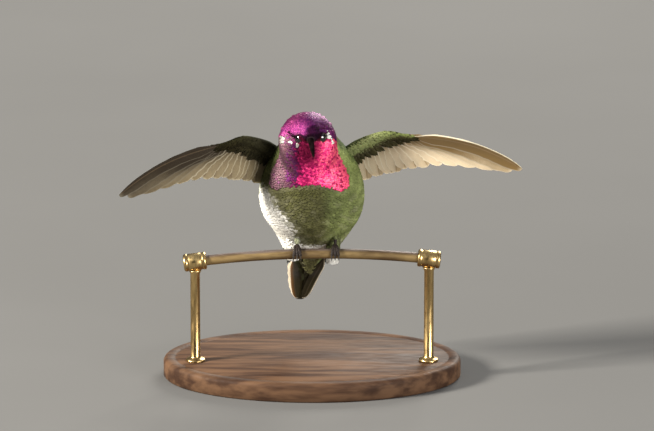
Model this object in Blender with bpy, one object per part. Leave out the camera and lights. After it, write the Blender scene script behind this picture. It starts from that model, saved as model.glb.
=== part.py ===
"""Male Anna's hummingbird on a cut length of garden wire, wings spread, on a plain display stand.

The bird faces -Y and its left wing points to +X. The origin is the middle of the
underside of the stand's base. Sizes are in millimetres until a mesh is made.
"""
import math

import bmesh
import bpy
import numpy as np
from mathutils import Vector

MM = 0.001                      # metres in a millimetre
GAP = 0.3                       # thin cut between touching pieces

# Stand: an oval base, two short rods and the sleeves that hold the wire's ends.
BASE_LENGTH = 92.0              # along X
BASE_WIDTH = 62.0               # along Y
BASE_THICKNESS = 6.0
BASE_EDGE_RADIUS = 1.4
BASE_SEGMENTS = 48
ROD_RADIUS = 1.5
ROD_SPREAD = 36.0               # rod's distance from the bird's midline
ROD_SINK = 3.5                  # depth of the rod in the base
SLEEVE_RADIUS = 2.7
SLEEVE_LENGTH = 7.0
SLEEVE_GRIP = 4.0               # length of wire inside a sleeve

# Perch: 3.1 mm garden wire, part of a large ring, so it bows gently upward.
WIRE_HEIGHT = 40.0              # wire's centre above the floor where the bird holds it
WIRE_Y = -5.0                   # wire's place on the base
WIRE_RADIUS = 1.55
WIRE_BOW = 0.00163              # drop in mm for each square mm from the crest
WIRE_CREST_X = 4.0
WIRE_CREST_Z = 0.3
WIRE_SIDES = 10
WIRE_STEPS = 18

# Body: each station is a closed section that leans with the bird. It has a name, the
# middle's x, the back's (y, z), the belly's (y, z) and the half width, from the wire.
STATIONS = (
    ("bill base", -0.30, -17.7, 41.8, -17.7, 39.5, 1.5),
    ("forehead", -0.50, -16.0, 44.6, -16.7, 37.8, 2.8),
    ("forecrown", -0.75, -13.2, 46.7, -16.0, 35.4, 4.3),
    ("crown", -1.35, -9.0, 47.25, -15.5, 32.7, 8.0),
    ("hindcrown", -1.25, -4.6, 46.3, -15.2, 30.1, 8.9),
    ("nape", -0.95, -0.9, 43.4, -15.0, 27.5, 8.9),
    ("hindneck", -0.40, 2.2, 39.9, -14.7, 24.7, 11.0),
    ("mantle", 0.0, 6.2, 36.2, -13.9, 21.0, 13.5),
    ("back", 0.0, 10.6, 31.0, -12.2, 16.4, 15.5),
    ("lower back", -0.1, 14.0, 24.6, -8.9, 11.6, 16.2),
    ("rump", 0.0, 15.9, 17.5, -4.2, 7.5, 15.2),
    ("lower rump", 0.1, 16.6, 10.5, 1.2, 4.0, 12.7),
    ("vent", -0.2, 17.0, 4.2, 6.3, -0.3, 10.0),
    ("tail coverts", -1.2, 17.6, -1.0, 10.4, -5.4, 7.2),
)
HEAD_SPAN = (0.0, 4.6)          # station numbers where each length of the body starts and ends
NECK_SPAN = (4.68, 6.3)
TRUNK_SPAN = (6.36, 13.0)
HEAD_ROLL = 3.0                 # degrees: the head's right side is the higher
BODY_SIDES = 28

# Tail: sections like the body's, flattening into the blade of closed feathers.
TAIL_STATIONS = (
    ("coverts", -1.35, 17.7, -1.5, 10.9, -5.8, 6.6),
    ("under coverts", -1.9, 17.9, -6.0, 13.2, -9.2, 5.9),
    ("covert tips", -2.4, 18.4, -10.6, 16.0, -12.0, 4.9),
    ("blade", -2.9, 19.1, -14.6, 17.7, -15.2, 3.9),
    ("blade end", -3.2, 19.9, -18.0, 18.9, -18.3, 3.1),
    ("tip", -3.4, 20.4, -20.1, 19.7, -20.3, 1.7),
)
TAIL_SIDES = 18

# Head parts.
BILL_LENGTH = 18.0
BILL_BASE_Y = -17.9
BILL_BASE_Z = 40.65
BILL_DROP = 0.3                 # tip below the base
BILL_YAW = 0.9                  # tip to +X of the base
BILL_BASE_HALF_WIDTH = 1.0
BILL_BASE_HALF_HEIGHT = 0.9
BILL_TIP_RADIUS = 0.28
EYE_RADIUS = 2.1
EYE_SPREAD = 3.25               # eye's middle from the head's midline
EYE_Y = -13.5
EYE_Z = 41.1
EYE_ROLL = 0.35                 # the right eye is higher and the left one lower by this

# Wings. Each has a flat plan: p runs out from the shoulder and q back across the wing.
SHOULDER_X = 11.0
SHOULDER_Y = -1.0
SHOULDER_Z = 33.9
CHORD_STEEPNESS = 66.0          # degrees of the wing's chord below the horizontal
WING_POSES = {"left": (1, 10.5, -2.6), "right": (-1, 30.0, 1.0)}   # side, sweep, droop
LEADING_EDGE = ((-4.0, 1.0), (-1.3, -0.5), (3.3, -3.7), (10.5, -6.7), (14.2, -6.7),
                (18.3, -5.7), (29.0, -4.3), (39.3, -2.6), (44.0, -0.7), (47.6, 1.4),
                (51.0, 4.4), (53.3, 7.3))
TRAILING_EDGE = ((-4.0, 12.6), (2.7, 12.7), (5.2, 12.5), (7.6, 10.9), (13.6, 9.6),
                 (17.0, 7.9), (22.5, 7.4), (28.3, 6.2), (33.5, 6.5), (39.0, 7.2),
                 (44.5, 8.2), (49.5, 9.1), (53.3, 8.3))
ARM_REACH = 19.0                # the hand's flesh ends here
ARM_CHORD = (6.0, 3.0)          # flesh and its coverts, at the shoulder and at the hand's end
ARM_THICKNESS = (4.2, 1.5)
VANE_THICKNESS = (1.3, 0.55)    # at the front and at the trailing edge
CAMBER = 1.1                    # hollow of the underside
FEATHER_TIPS = (3.0, 4.6, 6.2, 7.8, 9.5, 11.4, 13.8, 17.0, 20.3, 24.0, 28.3, 33.5, 39.0,
                44.5, 49.5, 53.3)   # p of each flight feather's tip, from the body outward
SCALLOP = 0.8                   # notch between two feather tips
WRIST = 12.6                    # where primaries and secondaries part

# Legs and feet.
FOOT_X = {"left": 7.1, "right": -4.6}
TUFT_X = {"left": 6.0, "right": -6.4}
TUFT_RADIUS = {"left": 2.3, "right": 2.6}
TOE_RADIUS = 0.48
CLAW_TIP_RADIUS = 0.26
TOE_SPACING = 0.95
TOE_ARC = (-12.0, 84.0, 132.0)   # start, claw's start and claw's tip, degrees over the front
HALLUX_ARC = (-8.0, -92.0, -128.0)
TARSUS_RADIUS = 0.5


# ---------------------------------------------------------------- helpers
def world(point):
    """Place a point measured from the wire's centre in the part's own frame, in metres."""
    x, y, z = point
    return Vector((x * MM, (y + WIRE_Y) * MM, (z + WIRE_HEIGHT) * MM))


def spline(rows, s):
    """Catmull-Rom value at row number s of a table."""
    table = np.asarray(rows, dtype=float)
    i = max(0, min(int(s), len(table) - 2))
    f = s - i
    p1, p2 = table[i], table[i + 1]
    p0 = table[i - 1] if i > 0 else 2 * p1 - p2
    p3 = table[i + 2] if i + 2 < len(table) else 2 * p2 - p1
    square = 2 * p0 - 5 * p1 + 4 * p2 - p3
    cube = 3 * p1 - p0 - 3 * p2 + p3
    return 0.5 * (2 * p1 + (p2 - p0) * f + square * f * f + cube * f ** 3)


def edge_q(curve, p):
    """The q of a wing edge at span p, read from its smooth curve."""
    spans = [row[0] for row in curve]
    i = int(np.clip(np.searchsorted(spans, p) - 1, 0, len(spans) - 2))
    low, high = i, i + 1.0
    for _ in range(24):
        middle = 0.5 * (low + high)
        if spline(curve, middle)[0] < p:
            low = middle
        else:
            high = middle
    return float(spline(curve, 0.5 * (low + high))[1])


def material(name, colour, roughness, metallic=0.0):
    """A Principled material of one colour."""
    made = bpy.data.materials.new(name)
    made.use_nodes = True
    shader = made.node_tree.nodes["Principled BSDF"]
    shader.inputs["Base Color"].default_value = (*colour, 1.0)
    shader.inputs["Roughness"].default_value = roughness
    shader.inputs["Metallic"].default_value = metallic
    return made


def add_object(name, verts, faces, finish, sharp_angle=40.0):
    """Make a named object from points in metres, with its faces turned outward."""
    mesh = bpy.data.meshes.new(name)
    mesh.from_pydata([tuple(v) for v in verts], [], faces)
    work = bmesh.new()
    work.from_mesh(mesh)
    bmesh.ops.recalc_face_normals(work, faces=work.faces)
    work.to_mesh(mesh)
    work.free()
    mesh.shade_smooth()
    mesh.set_sharp_from_angle(angle=math.radians(sharp_angle))
    mesh.materials.append(finish)
    made = bpy.data.objects.new(name, mesh)
    bpy.context.scene.collection.objects.link(made)
    return made


def loft(rings):
    """Points and faces of a closed solid through rings that have one point count."""
    count = len(rings[0])
    verts = [point for ring in rings for point in ring]
    faces = []
    for i in range(len(rings) - 1):
        for j in range(count):
            a, b = i * count + j, i * count + (j + 1) % count
            faces.append((a, b, b + count, a + count))
    last = (len(rings) - 1) * count
    faces.append(tuple(reversed(range(count))))
    faces.append(tuple(range(last, last + count)))
    return verts, faces


def tube(points, radii, sides):
    """Closed tube of changing radius along points in metres."""
    points = [Vector(p) for p in points]
    rings = []
    side = None
    for i, centre in enumerate(points):
        ahead = points[min(i + 1, len(points) - 1)] - points[max(i - 1, 0)]
        ahead.normalize()
        if side is None:
            side = ahead.orthogonal().normalized()
        side = (side - ahead * side.dot(ahead)).normalized()
        up = ahead.cross(side)
        ring = []
        for k in range(sides):
            angle = 2 * math.pi * k / sides
            ring.append(centre + (side * math.cos(angle) + up * math.sin(angle)) * radii[i])
        rings.append(ring)
    return loft(rings)


def cylinder_along(start, end, radius, sides):
    """Straight round bar between two points in metres."""
    return tube([start, end], [radius, radius], sides)


def ellipsoid(centre, radii, segments=14, rings=9):
    """Closed ellipsoid, with sizes in millimetres from the wire's centre."""
    work = bmesh.new()
    bmesh.ops.create_uvsphere(work, u_segments=segments, v_segments=rings, radius=1.0)
    verts = []
    for v in work.verts:
        offset = (v.co.x * radii[0], v.co.y * radii[1], v.co.z * radii[2])
        verts.append(world([c + o for c, o in zip(centre, offset)]))
    faces = [tuple(v.index for v in f.verts) for f in work.faces]
    work.free()
    return verts, faces


def boolean(target, cutter, operation):
    """Add an exact Boolean modifier, and hide the object that it uses."""
    step = target.modifiers.new(operation.lower() + " " + cutter.name, "BOOLEAN")
    step.operation = operation
    step.solver = "EXACT"
    step.object = cutter
    cutter.hide_render = True
    cutter.display_type = "WIRE"


# ---------------------------------------------------------------- body
def body_ring(stations, s, sides, grow=0.0, roll=0.0):
    """Section at station number s, grown outward by a distance in mm."""
    x, back_y, back_z, belly_y, belly_z, width = spline([row[1:] for row in stations], s)
    middle = Vector((x, 0.5 * (back_y + belly_y), 0.5 * (back_z + belly_z)))
    half = Vector((0.0, 0.5 * (back_y - belly_y), 0.5 * (back_z - belly_z)))
    depth = half.length
    across, along = Vector((1, 0, 0)), half.normalized()
    ring = []
    for k in range(sides):
        angle = 2 * math.pi * k / sides + math.radians(roll)
        u = math.sin(angle) * (width + grow)
        v = math.cos(angle) * (depth + grow)
        ring.append(world(middle + across * u + along * v))
    return ring


def body_length(name, span, steps, finish, grow=0.0):
    """One length of the body between two station numbers."""
    rings = []
    for i in range(steps + 1):
        s = span[0] + (span[1] - span[0]) * i / steps
        fade = min(1.0, max(0.0, (6.0 - s) / 3.0))
        rings.append(body_ring(STATIONS, s, BODY_SIDES, grow, HEAD_ROLL * fade))
    return add_object(name, *loft(rings), finish)


def make_bill(finish):
    """Needle bill: an oval tube that narrows fast at its base, then slowly."""
    rings = []
    steps, sides = 12, 12
    for i in range(steps + 1):
        f = i / steps
        taper = (1 - f) ** 0.75
        half_width = BILL_TIP_RADIUS + (BILL_BASE_HALF_WIDTH - BILL_TIP_RADIUS) * taper
        half_height = BILL_TIP_RADIUS + (BILL_BASE_HALF_HEIGHT - BILL_TIP_RADIUS) * taper
        x = STATIONS[0][1] + BILL_YAW * f
        y = BILL_BASE_Y - GAP - BILL_LENGTH * f
        z = BILL_BASE_Z - BILL_DROP * f
        ring = []
        for k in range(sides):
            angle = 2 * math.pi * k / sides
            u, v = math.cos(angle) * half_width, math.sin(angle) * half_height
            ring.append(world((x + u, y, z + v)))
        rings.append(ring)
    return add_object("bill", *loft(rings), finish)


def make_eye(side_name, side, head, finish):
    """An eyeball, and the round orbit that the head keeps for it."""
    head_x = STATIONS[2][1]
    centre = (head_x + side * EYE_SPREAD, EYE_Y, EYE_Z - side * EYE_ROLL)
    ball = [EYE_RADIUS] * 3
    eye = add_object("eye_" + side_name, *ellipsoid(centre, ball, 16, 10), finish)
    orbit = [EYE_RADIUS + GAP] * 3
    cut = add_object("cut_orbit_" + side_name, *ellipsoid(centre, orbit, 14, 8), finish)
    boolean(head, cut, "DIFFERENCE")
    return eye


def make_tail(finish):
    """Coverts above and below that thin into the closed blade of tail feathers."""
    steps = 13
    rings = []
    for i in range(steps + 1):
        s = (len(TAIL_STATIONS) - 1) * i / steps
        rings.append(body_ring(TAIL_STATIONS, s, TAIL_SIDES))
    return add_object("tail", *loft(rings), finish)


# ---------------------------------------------------------------- wings
def wing_frame(side_name):
    """Shoulder and the directions of span, chord and upper side of one wing."""
    side, sweep, droop = WING_POSES[side_name]
    sweep, droop = math.radians(sweep), math.radians(droop)
    span = Vector((side * math.cos(sweep) * math.cos(droop), -math.sin(sweep), -math.sin(droop)))
    steep = math.radians(CHORD_STEEPNESS)
    chord = Vector((0.0, math.cos(steep), -math.sin(steep)))
    chord = (chord - span * chord.dot(span)).normalized()
    upper = span.cross(chord) * side
    if upper.y < 0:
        upper.negate()
    return Vector((side * SHOULDER_X, SHOULDER_Y, SHOULDER_Z)), span.normalized(), chord, upper


def wing_point(frame, p, q, height):
    """World point at span p, chord q and a height above the wing's middle surface."""
    shoulder, span, chord, upper = frame
    front, back = edge_q(LEADING_EDGE, p), edge_q(TRAILING_EDGE, p)
    across = np.clip((q - front) / max(back - front, 0.5), 0.0, 1.0)
    hollow = CAMBER * math.sin(math.pi * across) * min(1.0, (back - front) / 12.0)
    return world(shoulder + span * p + chord * q + upper * (height + hollow))


def arm_rear(p):
    """Rear line of the arm's flesh and small coverts."""
    f = np.clip(p / ARM_REACH, 0.0, 1.0)
    chord = ARM_CHORD[0] + (ARM_CHORD[1] - ARM_CHORD[0]) * f
    return edge_q(LEADING_EDGE, p) + chord


def scalloped(p):
    """Trailing edge with a notch between each two feather tips."""
    i = int(np.clip(np.searchsorted(FEATHER_TIPS, p), 1, len(FEATHER_TIPS) - 1))
    width = FEATHER_TIPS[i] - FEATHER_TIPS[i - 1]
    phase = np.clip((p - FEATHER_TIPS[i - 1]) / width, 0.0, 1.0)
    notch = SCALLOP * min(1.0, width / 3.0) * math.sin(math.pi * phase) ** 0.7
    return edge_q(TRAILING_EDGE, p) - notch


def span_samples(start, end, per_feather):
    """Span positions at each feather tip and evenly between tips."""
    marks = [start] + [t for t in FEATHER_TIPS if start + 0.4 < t < end - 0.4] + [end]
    samples = []
    for a, b in zip(marks, marks[1:]):
        samples += [a + (b - a) * k / per_feather for k in range(per_feather)]
    return samples + [end]


def vane_plate(name, frame, samples, front, finish):
    """Closed thin plate of flight feathers from its front line to the trailing edge."""
    rows = 4
    rings = []
    for p in samples:
        start = front(p)
        end = max(scalloped(p), start + 0.9)
        upper_side, under_side = [], []
        for r in range(rows + 1):
            f = r / rows
            half = 0.5 * (VANE_THICKNESS[0] + (VANE_THICKNESS[1] - VANE_THICKNESS[0]) * f)
            q = start + (end - start) * f
            upper_side.append(wing_point(frame, p, q, half))
            under_side.append(wing_point(frame, p, q, -half))
        rings.append(upper_side + under_side[::-1])
    return add_object(name, *loft(rings), finish, 60.0)


def make_arm(name, frame, finish):
    """Flesh and small coverts of the arm and hand, a flattened tube that tapers outward."""
    steps, sides = 10, 12
    rings = []
    for i in range(steps + 1):
        p = -4.0 + (ARM_REACH + 4.0) * i / steps
        front, rear = edge_q(LEADING_EDGE, p), arm_rear(p)
        f = np.clip(p / ARM_REACH, 0.0, 1.0)
        half = 0.5 * (ARM_THICKNESS[0] + (ARM_THICKNESS[1] - ARM_THICKNESS[0]) * f)
        middle, reach = 0.5 * (front + rear), 0.5 * (rear - front)
        ring = []
        for k in range(sides):
            angle = 2 * math.pi * k / sides
            q = middle + reach * math.cos(angle)
            ring.append(wing_point(frame, p, q, half * math.sin(angle)))
        rings.append(ring)
    return add_object(name, *loft(rings), finish)


def make_wing(side_name, body_cutter, arm_finish, vane_finish):
    """Arm, secondaries and primaries of one wing, trimmed where they meet the body."""
    frame = wing_frame(side_name)

    def behind_arm(p):
        """Front line of the feathers: behind the flesh, then the leading edge itself."""
        fade = np.clip((p - ARM_REACH - GAP) / 0.4, 0.0, 1.0)
        return (arm_rear(p) + GAP) * (1 - fade) + edge_q(LEADING_EDGE, p) * fade

    arm = make_arm("wing_arm_" + side_name, frame, arm_finish)
    inner = span_samples(0.5, WRIST - 0.5 * GAP, 2)
    outer = span_samples(WRIST + 0.5 * GAP, ARM_REACH + GAP, 2)[:-1]
    outer += span_samples(ARM_REACH + GAP + 0.01, ARM_REACH + 0.8 + GAP, 1)
    outer += span_samples(ARM_REACH + 1.6, FEATHER_TIPS[-1], 3)
    secondaries = vane_plate("wing_secondaries_" + side_name, frame, inner, behind_arm, vane_finish)
    vane_plate("wing_primaries_" + side_name, frame, outer, behind_arm, vane_finish)
    boolean(arm, body_cutter, "DIFFERENCE")
    boolean(secondaries, body_cutter, "DIFFERENCE")


# ---------------------------------------------------------------- legs, feet and perch
def wire_z(x):
    """Height of the wire's middle, from where the bird holds it."""
    return WIRE_CREST_Z - WIRE_BOW * (x - WIRE_CREST_X) ** 2


def make_leg(side_name, body_cutter, finish):
    """Short shank in its feathered boot, and the thigh's tuft that hangs behind the wire."""
    side = 1 if side_name == "left" else -1
    foot_x, tuft_x = FOOT_X[side_name], TUFT_X[side_name]
    steps = 9
    points, radii = [], []
    for i in range(steps + 1):
        f = i / steps
        points.append(world((tuft_x + side * 0.6 * (1 - f), 5.2 - 0.4 * f, 7.0 - 10.6 * f)))
        radii.append(TUFT_RADIUS[side_name] * math.sin(math.pi * (0.42 + 0.52 * f)) * MM)
    tuft = add_object("thigh_tuft_" + side_name, *tube(points, radii, 14), finish)
    boolean(tuft, body_cutter, "DIFFERENCE")
    ankle_z = wire_z(foot_x) + 3.4
    shank = [world((foot_x, 3.0, 9.0)), world((foot_x, 1.9, 6.4)),
             world((foot_x, 1.35, ankle_z + 1.2)), world((foot_x, 1.0, ankle_z))]
    shank_radii = [2.0 * MM, 1.5 * MM, TARSUS_RADIUS * 1.6 * MM, TARSUS_RADIUS * MM]
    leg = add_object("leg_" + side_name, *tube(shank, shank_radii, 12), finish)
    boolean(leg, body_cutter, "DIFFERENCE")


def toe_points(x, spread, arc, rise):
    """Middle line of a toe and its claw, curled about the wire."""
    start, claw, tip = arc
    count = 7
    points, radii = [], []
    for i in range(count + 1):
        f = i / count
        degrees = start + (tip - start) * f
        angle = math.radians(degrees)
        share = np.clip(abs(degrees - claw) / abs(tip - claw), 0.0, 1.0)
        in_claw = share if abs(degrees - start) > abs(claw - start) else 0.0
        reach = WIRE_RADIUS + GAP + TOE_RADIUS + rise * in_claw
        across = x + spread * (0.75 + 0.5 * f)
        y = -reach * math.sin(angle)
        z = wire_z(x) + reach * math.cos(angle)
        points.append(world((across, y, z)))
        radii.append((TOE_RADIUS * (1 - in_claw) + CLAW_TIP_RADIUS * in_claw) * MM)
    return points, radii


def make_foot(side_name, finish):
    """Three toes over the front of the wire and one behind, joined at the palm."""
    x = FOOT_X[side_name]
    palm = ellipsoid((x, 0.35, wire_z(x) + 2.45), (1.5, 1.15, 0.58), 12, 6)
    foot = add_object("foot_" + side_name, *palm, finish)
    toes = [(spread, TOE_ARC) for spread in (-TOE_SPACING, 0.0, TOE_SPACING)]
    toes.append((0.06, HALLUX_ARC))
    for number, (spread, arc) in enumerate(toes):
        points, radii = toe_points(x, spread, arc, 0.25)
        name = "join_toe_%s_%d" % (side_name, number)
        toe = add_object(name, *tube(points, radii, 7), finish)
        boolean(foot, toe, "UNION")


def make_perch(finish):
    """The cut length of wire, its ends inside the sleeves."""
    reach = ROD_SPREAD - 0.5 * SLEEVE_LENGTH + SLEEVE_GRIP
    points = []
    for i in range(WIRE_STEPS + 1):
        x = -reach + 2 * reach * i / WIRE_STEPS
        points.append(world((x, 0.0, wire_z(x))))
    radii = [WIRE_RADIUS * MM] * len(points)
    return add_object("perch_wire", *tube(points, radii, WIRE_SIDES), finish)


def make_stand(base_finish, metal_finish):
    """Oval base, rods sunk in it, and the sleeve on top of each rod."""
    half_x, half_y = 0.5 * BASE_LENGTH * MM, 0.5 * BASE_WIDTH * MM
    r, top = BASE_EDGE_RADIUS * MM, BASE_THICKNESS * MM
    rings = []
    profile = [(-0.35 * r, 0.0), (0.0, 0.35 * r)]
    for k in range(4):
        angle = math.radians(30 * k)
        profile.append((-r + r * math.cos(angle), top - r + r * math.sin(angle)))
    for inset, z in profile:
        ring = []
        for k in range(BASE_SEGMENTS):
            angle = 2 * math.pi * k / BASE_SEGMENTS
            x, y = (half_x + inset) * math.cos(angle), (half_y + inset) * math.sin(angle)
            ring.append(Vector((x, y, z)))
        rings.append(ring)
    base = add_object("stand_base", *loft(rings), base_finish, 30.0)
    for side_name, side in (("left", 1), ("right", -1)):
        x, y = side * ROD_SPREAD * MM, WIRE_Y * MM
        slope = 2 * WIRE_BOW * (WIRE_CREST_X - side * ROD_SPREAD)
        along = Vector((1.0, 0.0, slope)).normalized()
        centre = world((side * ROD_SPREAD, 0.0, wire_z(side * ROD_SPREAD)))
        foot = BASE_THICKNESS - ROD_SINK
        hole = [Vector((x, y, foot * MM)), Vector((x, y, 2 * BASE_THICKNESS * MM))]
        hole_bar = cylinder_along(*hole, (ROD_RADIUS + GAP) * MM, 20)
        boolean(base, add_object("cut_hole_" + side_name, *hole_bar, metal_finish), "DIFFERENCE")
        rod_top = centre.z - (SLEEVE_RADIUS + GAP) * MM
        rod = [Vector((x, y, (foot + GAP) * MM)), Vector((x, y, rod_top - 0.25 * MM))]
        bar = cylinder_along(*rod, ROD_RADIUS * MM, 20)
        add_object("stand_rod_" + side_name, *bar, metal_finish)
        reach = 0.5 * SLEEVE_LENGTH * MM
        ends = [centre - along * reach, centre + along * reach]
        steps = [(0.0, 0.82), (0.07, 1.0), (0.93, 1.0), (1.0, 0.82)]
        points = [ends[0].lerp(ends[1], f) for f, _ in steps]
        radii = [SLEEVE_RADIUS * share * MM for _, share in steps]
        sleeve = add_object("stand_sleeve_" + side_name, *tube(points, radii, 20), metal_finish)
        inner = centre - along * side * (reach + 1.0 * MM)
        outer = centre - along * side * (reach - (SLEEVE_GRIP + GAP) * MM)
        bore = cylinder_along(inner, outer, (WIRE_RADIUS + GAP) * MM, 20)
        cut = add_object("cut_bore_" + side_name, *bore, metal_finish)
        boolean(sleeve, cut, "DIFFERENCE")


def main():
    """Clear the scene and build every piece."""
    for old in list(bpy.data.objects):
        bpy.data.objects.remove(old, do_unlink=True)
    crown = material("rose iridescent", (0.45, 0.04, 0.16), 0.4, 0.3)
    plumage = material("green grey plumage", (0.13, 0.14, 0.07), 0.7)
    dark = material("dusky feather", (0.06, 0.05, 0.035), 0.6)
    tan = material("flight feather", (0.3, 0.22, 0.13), 0.6)
    horn = material("black horn", (0.02, 0.018, 0.016), 0.35)
    eye = material("dark eye", (0.01, 0.008, 0.006), 0.08)
    skin = material("toe skin", (0.07, 0.055, 0.045), 0.6)
    rust = material("brown wire", (0.2, 0.14, 0.08), 0.55, 0.4)
    wood = material("dark stained wood", (0.05, 0.03, 0.02), 0.4)
    brass = material("aged brass", (0.35, 0.24, 0.1), 0.35, 1.0)

    head = body_length("head", HEAD_SPAN, 12, crown)
    body_length("neck", NECK_SPAN, 4, crown)
    body_length("trunk", TRUNK_SPAN, 14, plumage)
    body_cutter = body_length("cut_body", (4.0, 13.0), 18, plumage, GAP)
    body_cutter.hide_render = True
    body_cutter.display_type = "WIRE"
    make_bill(horn)
    for side_name, side in (("left", 1), ("right", -1)):
        make_eye(side_name, side, head, eye)
        make_wing(side_name, body_cutter, plumage, tan)
        make_leg(side_name, body_cutter, plumage)
        make_foot(side_name, skin)
    make_tail(dark)
    make_perch(rust)
    make_stand(wood, brass)


main()
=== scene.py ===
"""Looks of a perched male hummingbird: one skin, its plumage, quills, bill, eyes, feet, wire and stand.

Lengths are in millimetres from the middle of the perch wire where the bird holds it, with -Y the
way the bird faces and +Z up. They become metres in the shared frame when a mesh is made.
"""
from __future__ import annotations

import logging
import math
from collections.abc import Callable
from dataclasses import dataclass, field
from enum import Enum
from functools import partial

import bpy
import numpy as np
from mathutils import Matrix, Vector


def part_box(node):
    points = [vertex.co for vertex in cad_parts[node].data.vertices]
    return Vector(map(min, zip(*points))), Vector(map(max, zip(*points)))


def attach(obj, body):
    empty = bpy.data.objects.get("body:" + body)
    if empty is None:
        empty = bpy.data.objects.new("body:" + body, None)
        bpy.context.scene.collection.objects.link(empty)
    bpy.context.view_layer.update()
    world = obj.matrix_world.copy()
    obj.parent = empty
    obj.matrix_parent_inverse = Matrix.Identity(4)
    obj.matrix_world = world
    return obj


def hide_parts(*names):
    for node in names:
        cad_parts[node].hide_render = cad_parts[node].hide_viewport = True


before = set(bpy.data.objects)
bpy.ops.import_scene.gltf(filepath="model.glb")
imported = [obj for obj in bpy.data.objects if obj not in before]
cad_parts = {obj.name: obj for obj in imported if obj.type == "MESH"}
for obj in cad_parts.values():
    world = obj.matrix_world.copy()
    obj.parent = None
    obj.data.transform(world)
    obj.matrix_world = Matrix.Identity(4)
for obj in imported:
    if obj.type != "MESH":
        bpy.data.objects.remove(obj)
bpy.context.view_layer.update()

log = logging.getLogger("hummingbird")

MM = 0.001
WIRE_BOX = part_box("perch_wire")
WIRE_Y = 500.0 * (WIRE_BOX[0][1] + WIRE_BOX[1][1])  # middle of the wire's box
WIRE_HEIGHT = 40.0  # of the wire's middle over the floor
WIRE_RADIUS = 1.55
WIRE_TOP, WIRE_BOW, WIRE_PEAK = 0.3, 0.00163, 4.0  # highest z, bend and the top's x
WIRE_GAP = 0.08  # between the wire and the toes
SEED = 11
PATCH = 0.003  # width of a feather's patch in the OFBake map
SKIN_CHANCE, SKIN_PLAY = 0.5, 0.4  # chance in the marks and in the tone where no feather varies it

Array = np.ndarray
Triple = tuple[float, float, float]
Colour = Triple
Object, Material, Node = bpy.types.Object, bpy.types.Material, bpy.types.Node
NodeTree, NodeOutputs = bpy.types.NodeTree, bpy.types.NodeOutputs
Socket = bpy.types.NodeSocket
Input = Socket | Triple | float
Pair = tuple[float, float]
Stops = tuple[tuple[float, Colour], ...]

# Sections of the body: middle x, back (y, z), belly (y, z) and half width.
BODY_SECTIONS = np.array([
    (-0.30, -17.7, 41.8, -17.7, 39.5, 1.5),  # bill base
    (-0.50, -16.0, 44.6, -16.7, 37.8, 2.8),  # forehead
    (-0.75, -13.2, 46.7, -16.0, 35.4, 4.3),  # forecrown
    (-1.35, -9.0, 47.25, -15.5, 32.7, 8.0),  # crown
    (-1.25, -4.6, 46.3, -15.2, 30.1, 8.9),  # hindcrown
    (-0.95, -0.9, 43.4, -15.0, 27.5, 8.9),  # nape
    (-0.40, 2.2, 39.9, -14.7, 24.7, 11.0),  # hindneck and lower edge of the gorget
    (0.0, 6.2, 36.2, -13.9, 21.0, 13.5),  # mantle
    (0.0, 10.6, 31.0, -12.2, 16.4, 15.5),  # back
    (-0.1, 14.0, 24.6, -8.9, 11.6, 16.2),  # lower back
    (0.0, 15.9, 17.5, -4.2, 7.5, 15.2),  # rump
    (0.1, 16.6, 10.5, 1.2, 4.0, 12.7),  # lower rump
    (-0.2, 17.0, 4.2, 6.3, -0.3, 10.0),  # vent
    (-1.2, 17.6, -1.0, 10.4, -5.4, 7.2),  # start of the tail coverts
    (-1.9, 17.9, -6.0, 13.2, -9.2, 5.9),  # under coverts
    (-2.4, 18.4, -10.6, 16.0, -12.0, 4.9),  # covert tips
    (-2.9, 19.1, -14.6, 17.7, -15.2, 3.9),  # tail blade
    (-3.2, 19.9, -18.0, 18.9, -18.3, 3.1),  # blade end
    (-3.4, 20.4, -20.1, 19.7, -20.3, 1.7),  # tail tip
])
HEAD_ROLL = math.radians(3.0)

LEADING_EDGE = np.array([(-4.0, 1.0), (-1.3, -0.5), (3.3, -3.7), (10.5, -6.7), (14.2, -6.7),
                         (18.3, -5.7), (29.0, -4.3), (39.3, -2.6), (44.0, -0.7), (47.6, 1.4),
                         (51.0, 4.4), (53.3, 7.3)])
TRAILING_EDGE = np.array([(-4.0, 12.6), (2.7, 12.7), (5.2, 12.5), (7.6, 10.9), (13.6, 9.6),
                          (17.0, 7.9), (22.5, 7.4), (28.3, 6.2), (33.5, 6.5), (39.0, 7.2),
                          (44.5, 8.2), (49.5, 9.1), (53.3, 8.3)])
ARM_REACH = 19.0


class Side(Enum):
    """The bird's own left and right; the value is the sign of x."""

    LEFT = 1
    RIGHT = -1

    @property
    def word(self) -> str:
        """Lower-case name for node and piece names."""
        return self.name.lower()


class Face(Enum):
    """The two faces of a wing; the value is the sign along its upper normal."""

    UPPER = 1
    UNDER = -1


# ---------- mathematics
def spline_rows(table: Array, s: Array) -> Array:
    """Read a smooth curve through a table's rows.

    Args:
        table: one row for each station.
        s: row numbers, of any shape, with fractions.

    Returns:
        Catmull-Rom values, with the rows' columns as last axis.
    """
    s = np.clip(np.asarray(s, float), 0.0, len(table) - 1.0)
    i = np.clip(np.floor(s).astype(int), 0, len(table) - 2)
    f = (s - i)[..., None]
    full = np.vstack([2 * table[0] - table[1], table, 2 * table[-1] - table[-2]])
    p0, p1, p2, p3 = (full[i + k] for k in range(4))
    square = 2 * p0 - 5 * p1 + 4 * p2 - p3
    cube = 3 * p1 - p0 - 3 * p2 + p3
    return 0.5 * (2 * p1 + (p2 - p0) * f + square * f ** 2 + cube * f ** 3)


def read_edge(curve: Array, p: Array) -> Array:
    """The q of a wing edge at span p.

    Args:
        curve: rows of (p, q).
        p: spans, of any shape.

    Returns:
        The q values on the smooth curve.
    """
    steps = np.linspace(0, len(curve) - 1, 40 * len(curve))
    fine = spline_rows(curve, steps)
    return np.interp(p, np.maximum.accumulate(fine[:, 0]), fine[:, 1])


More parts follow.
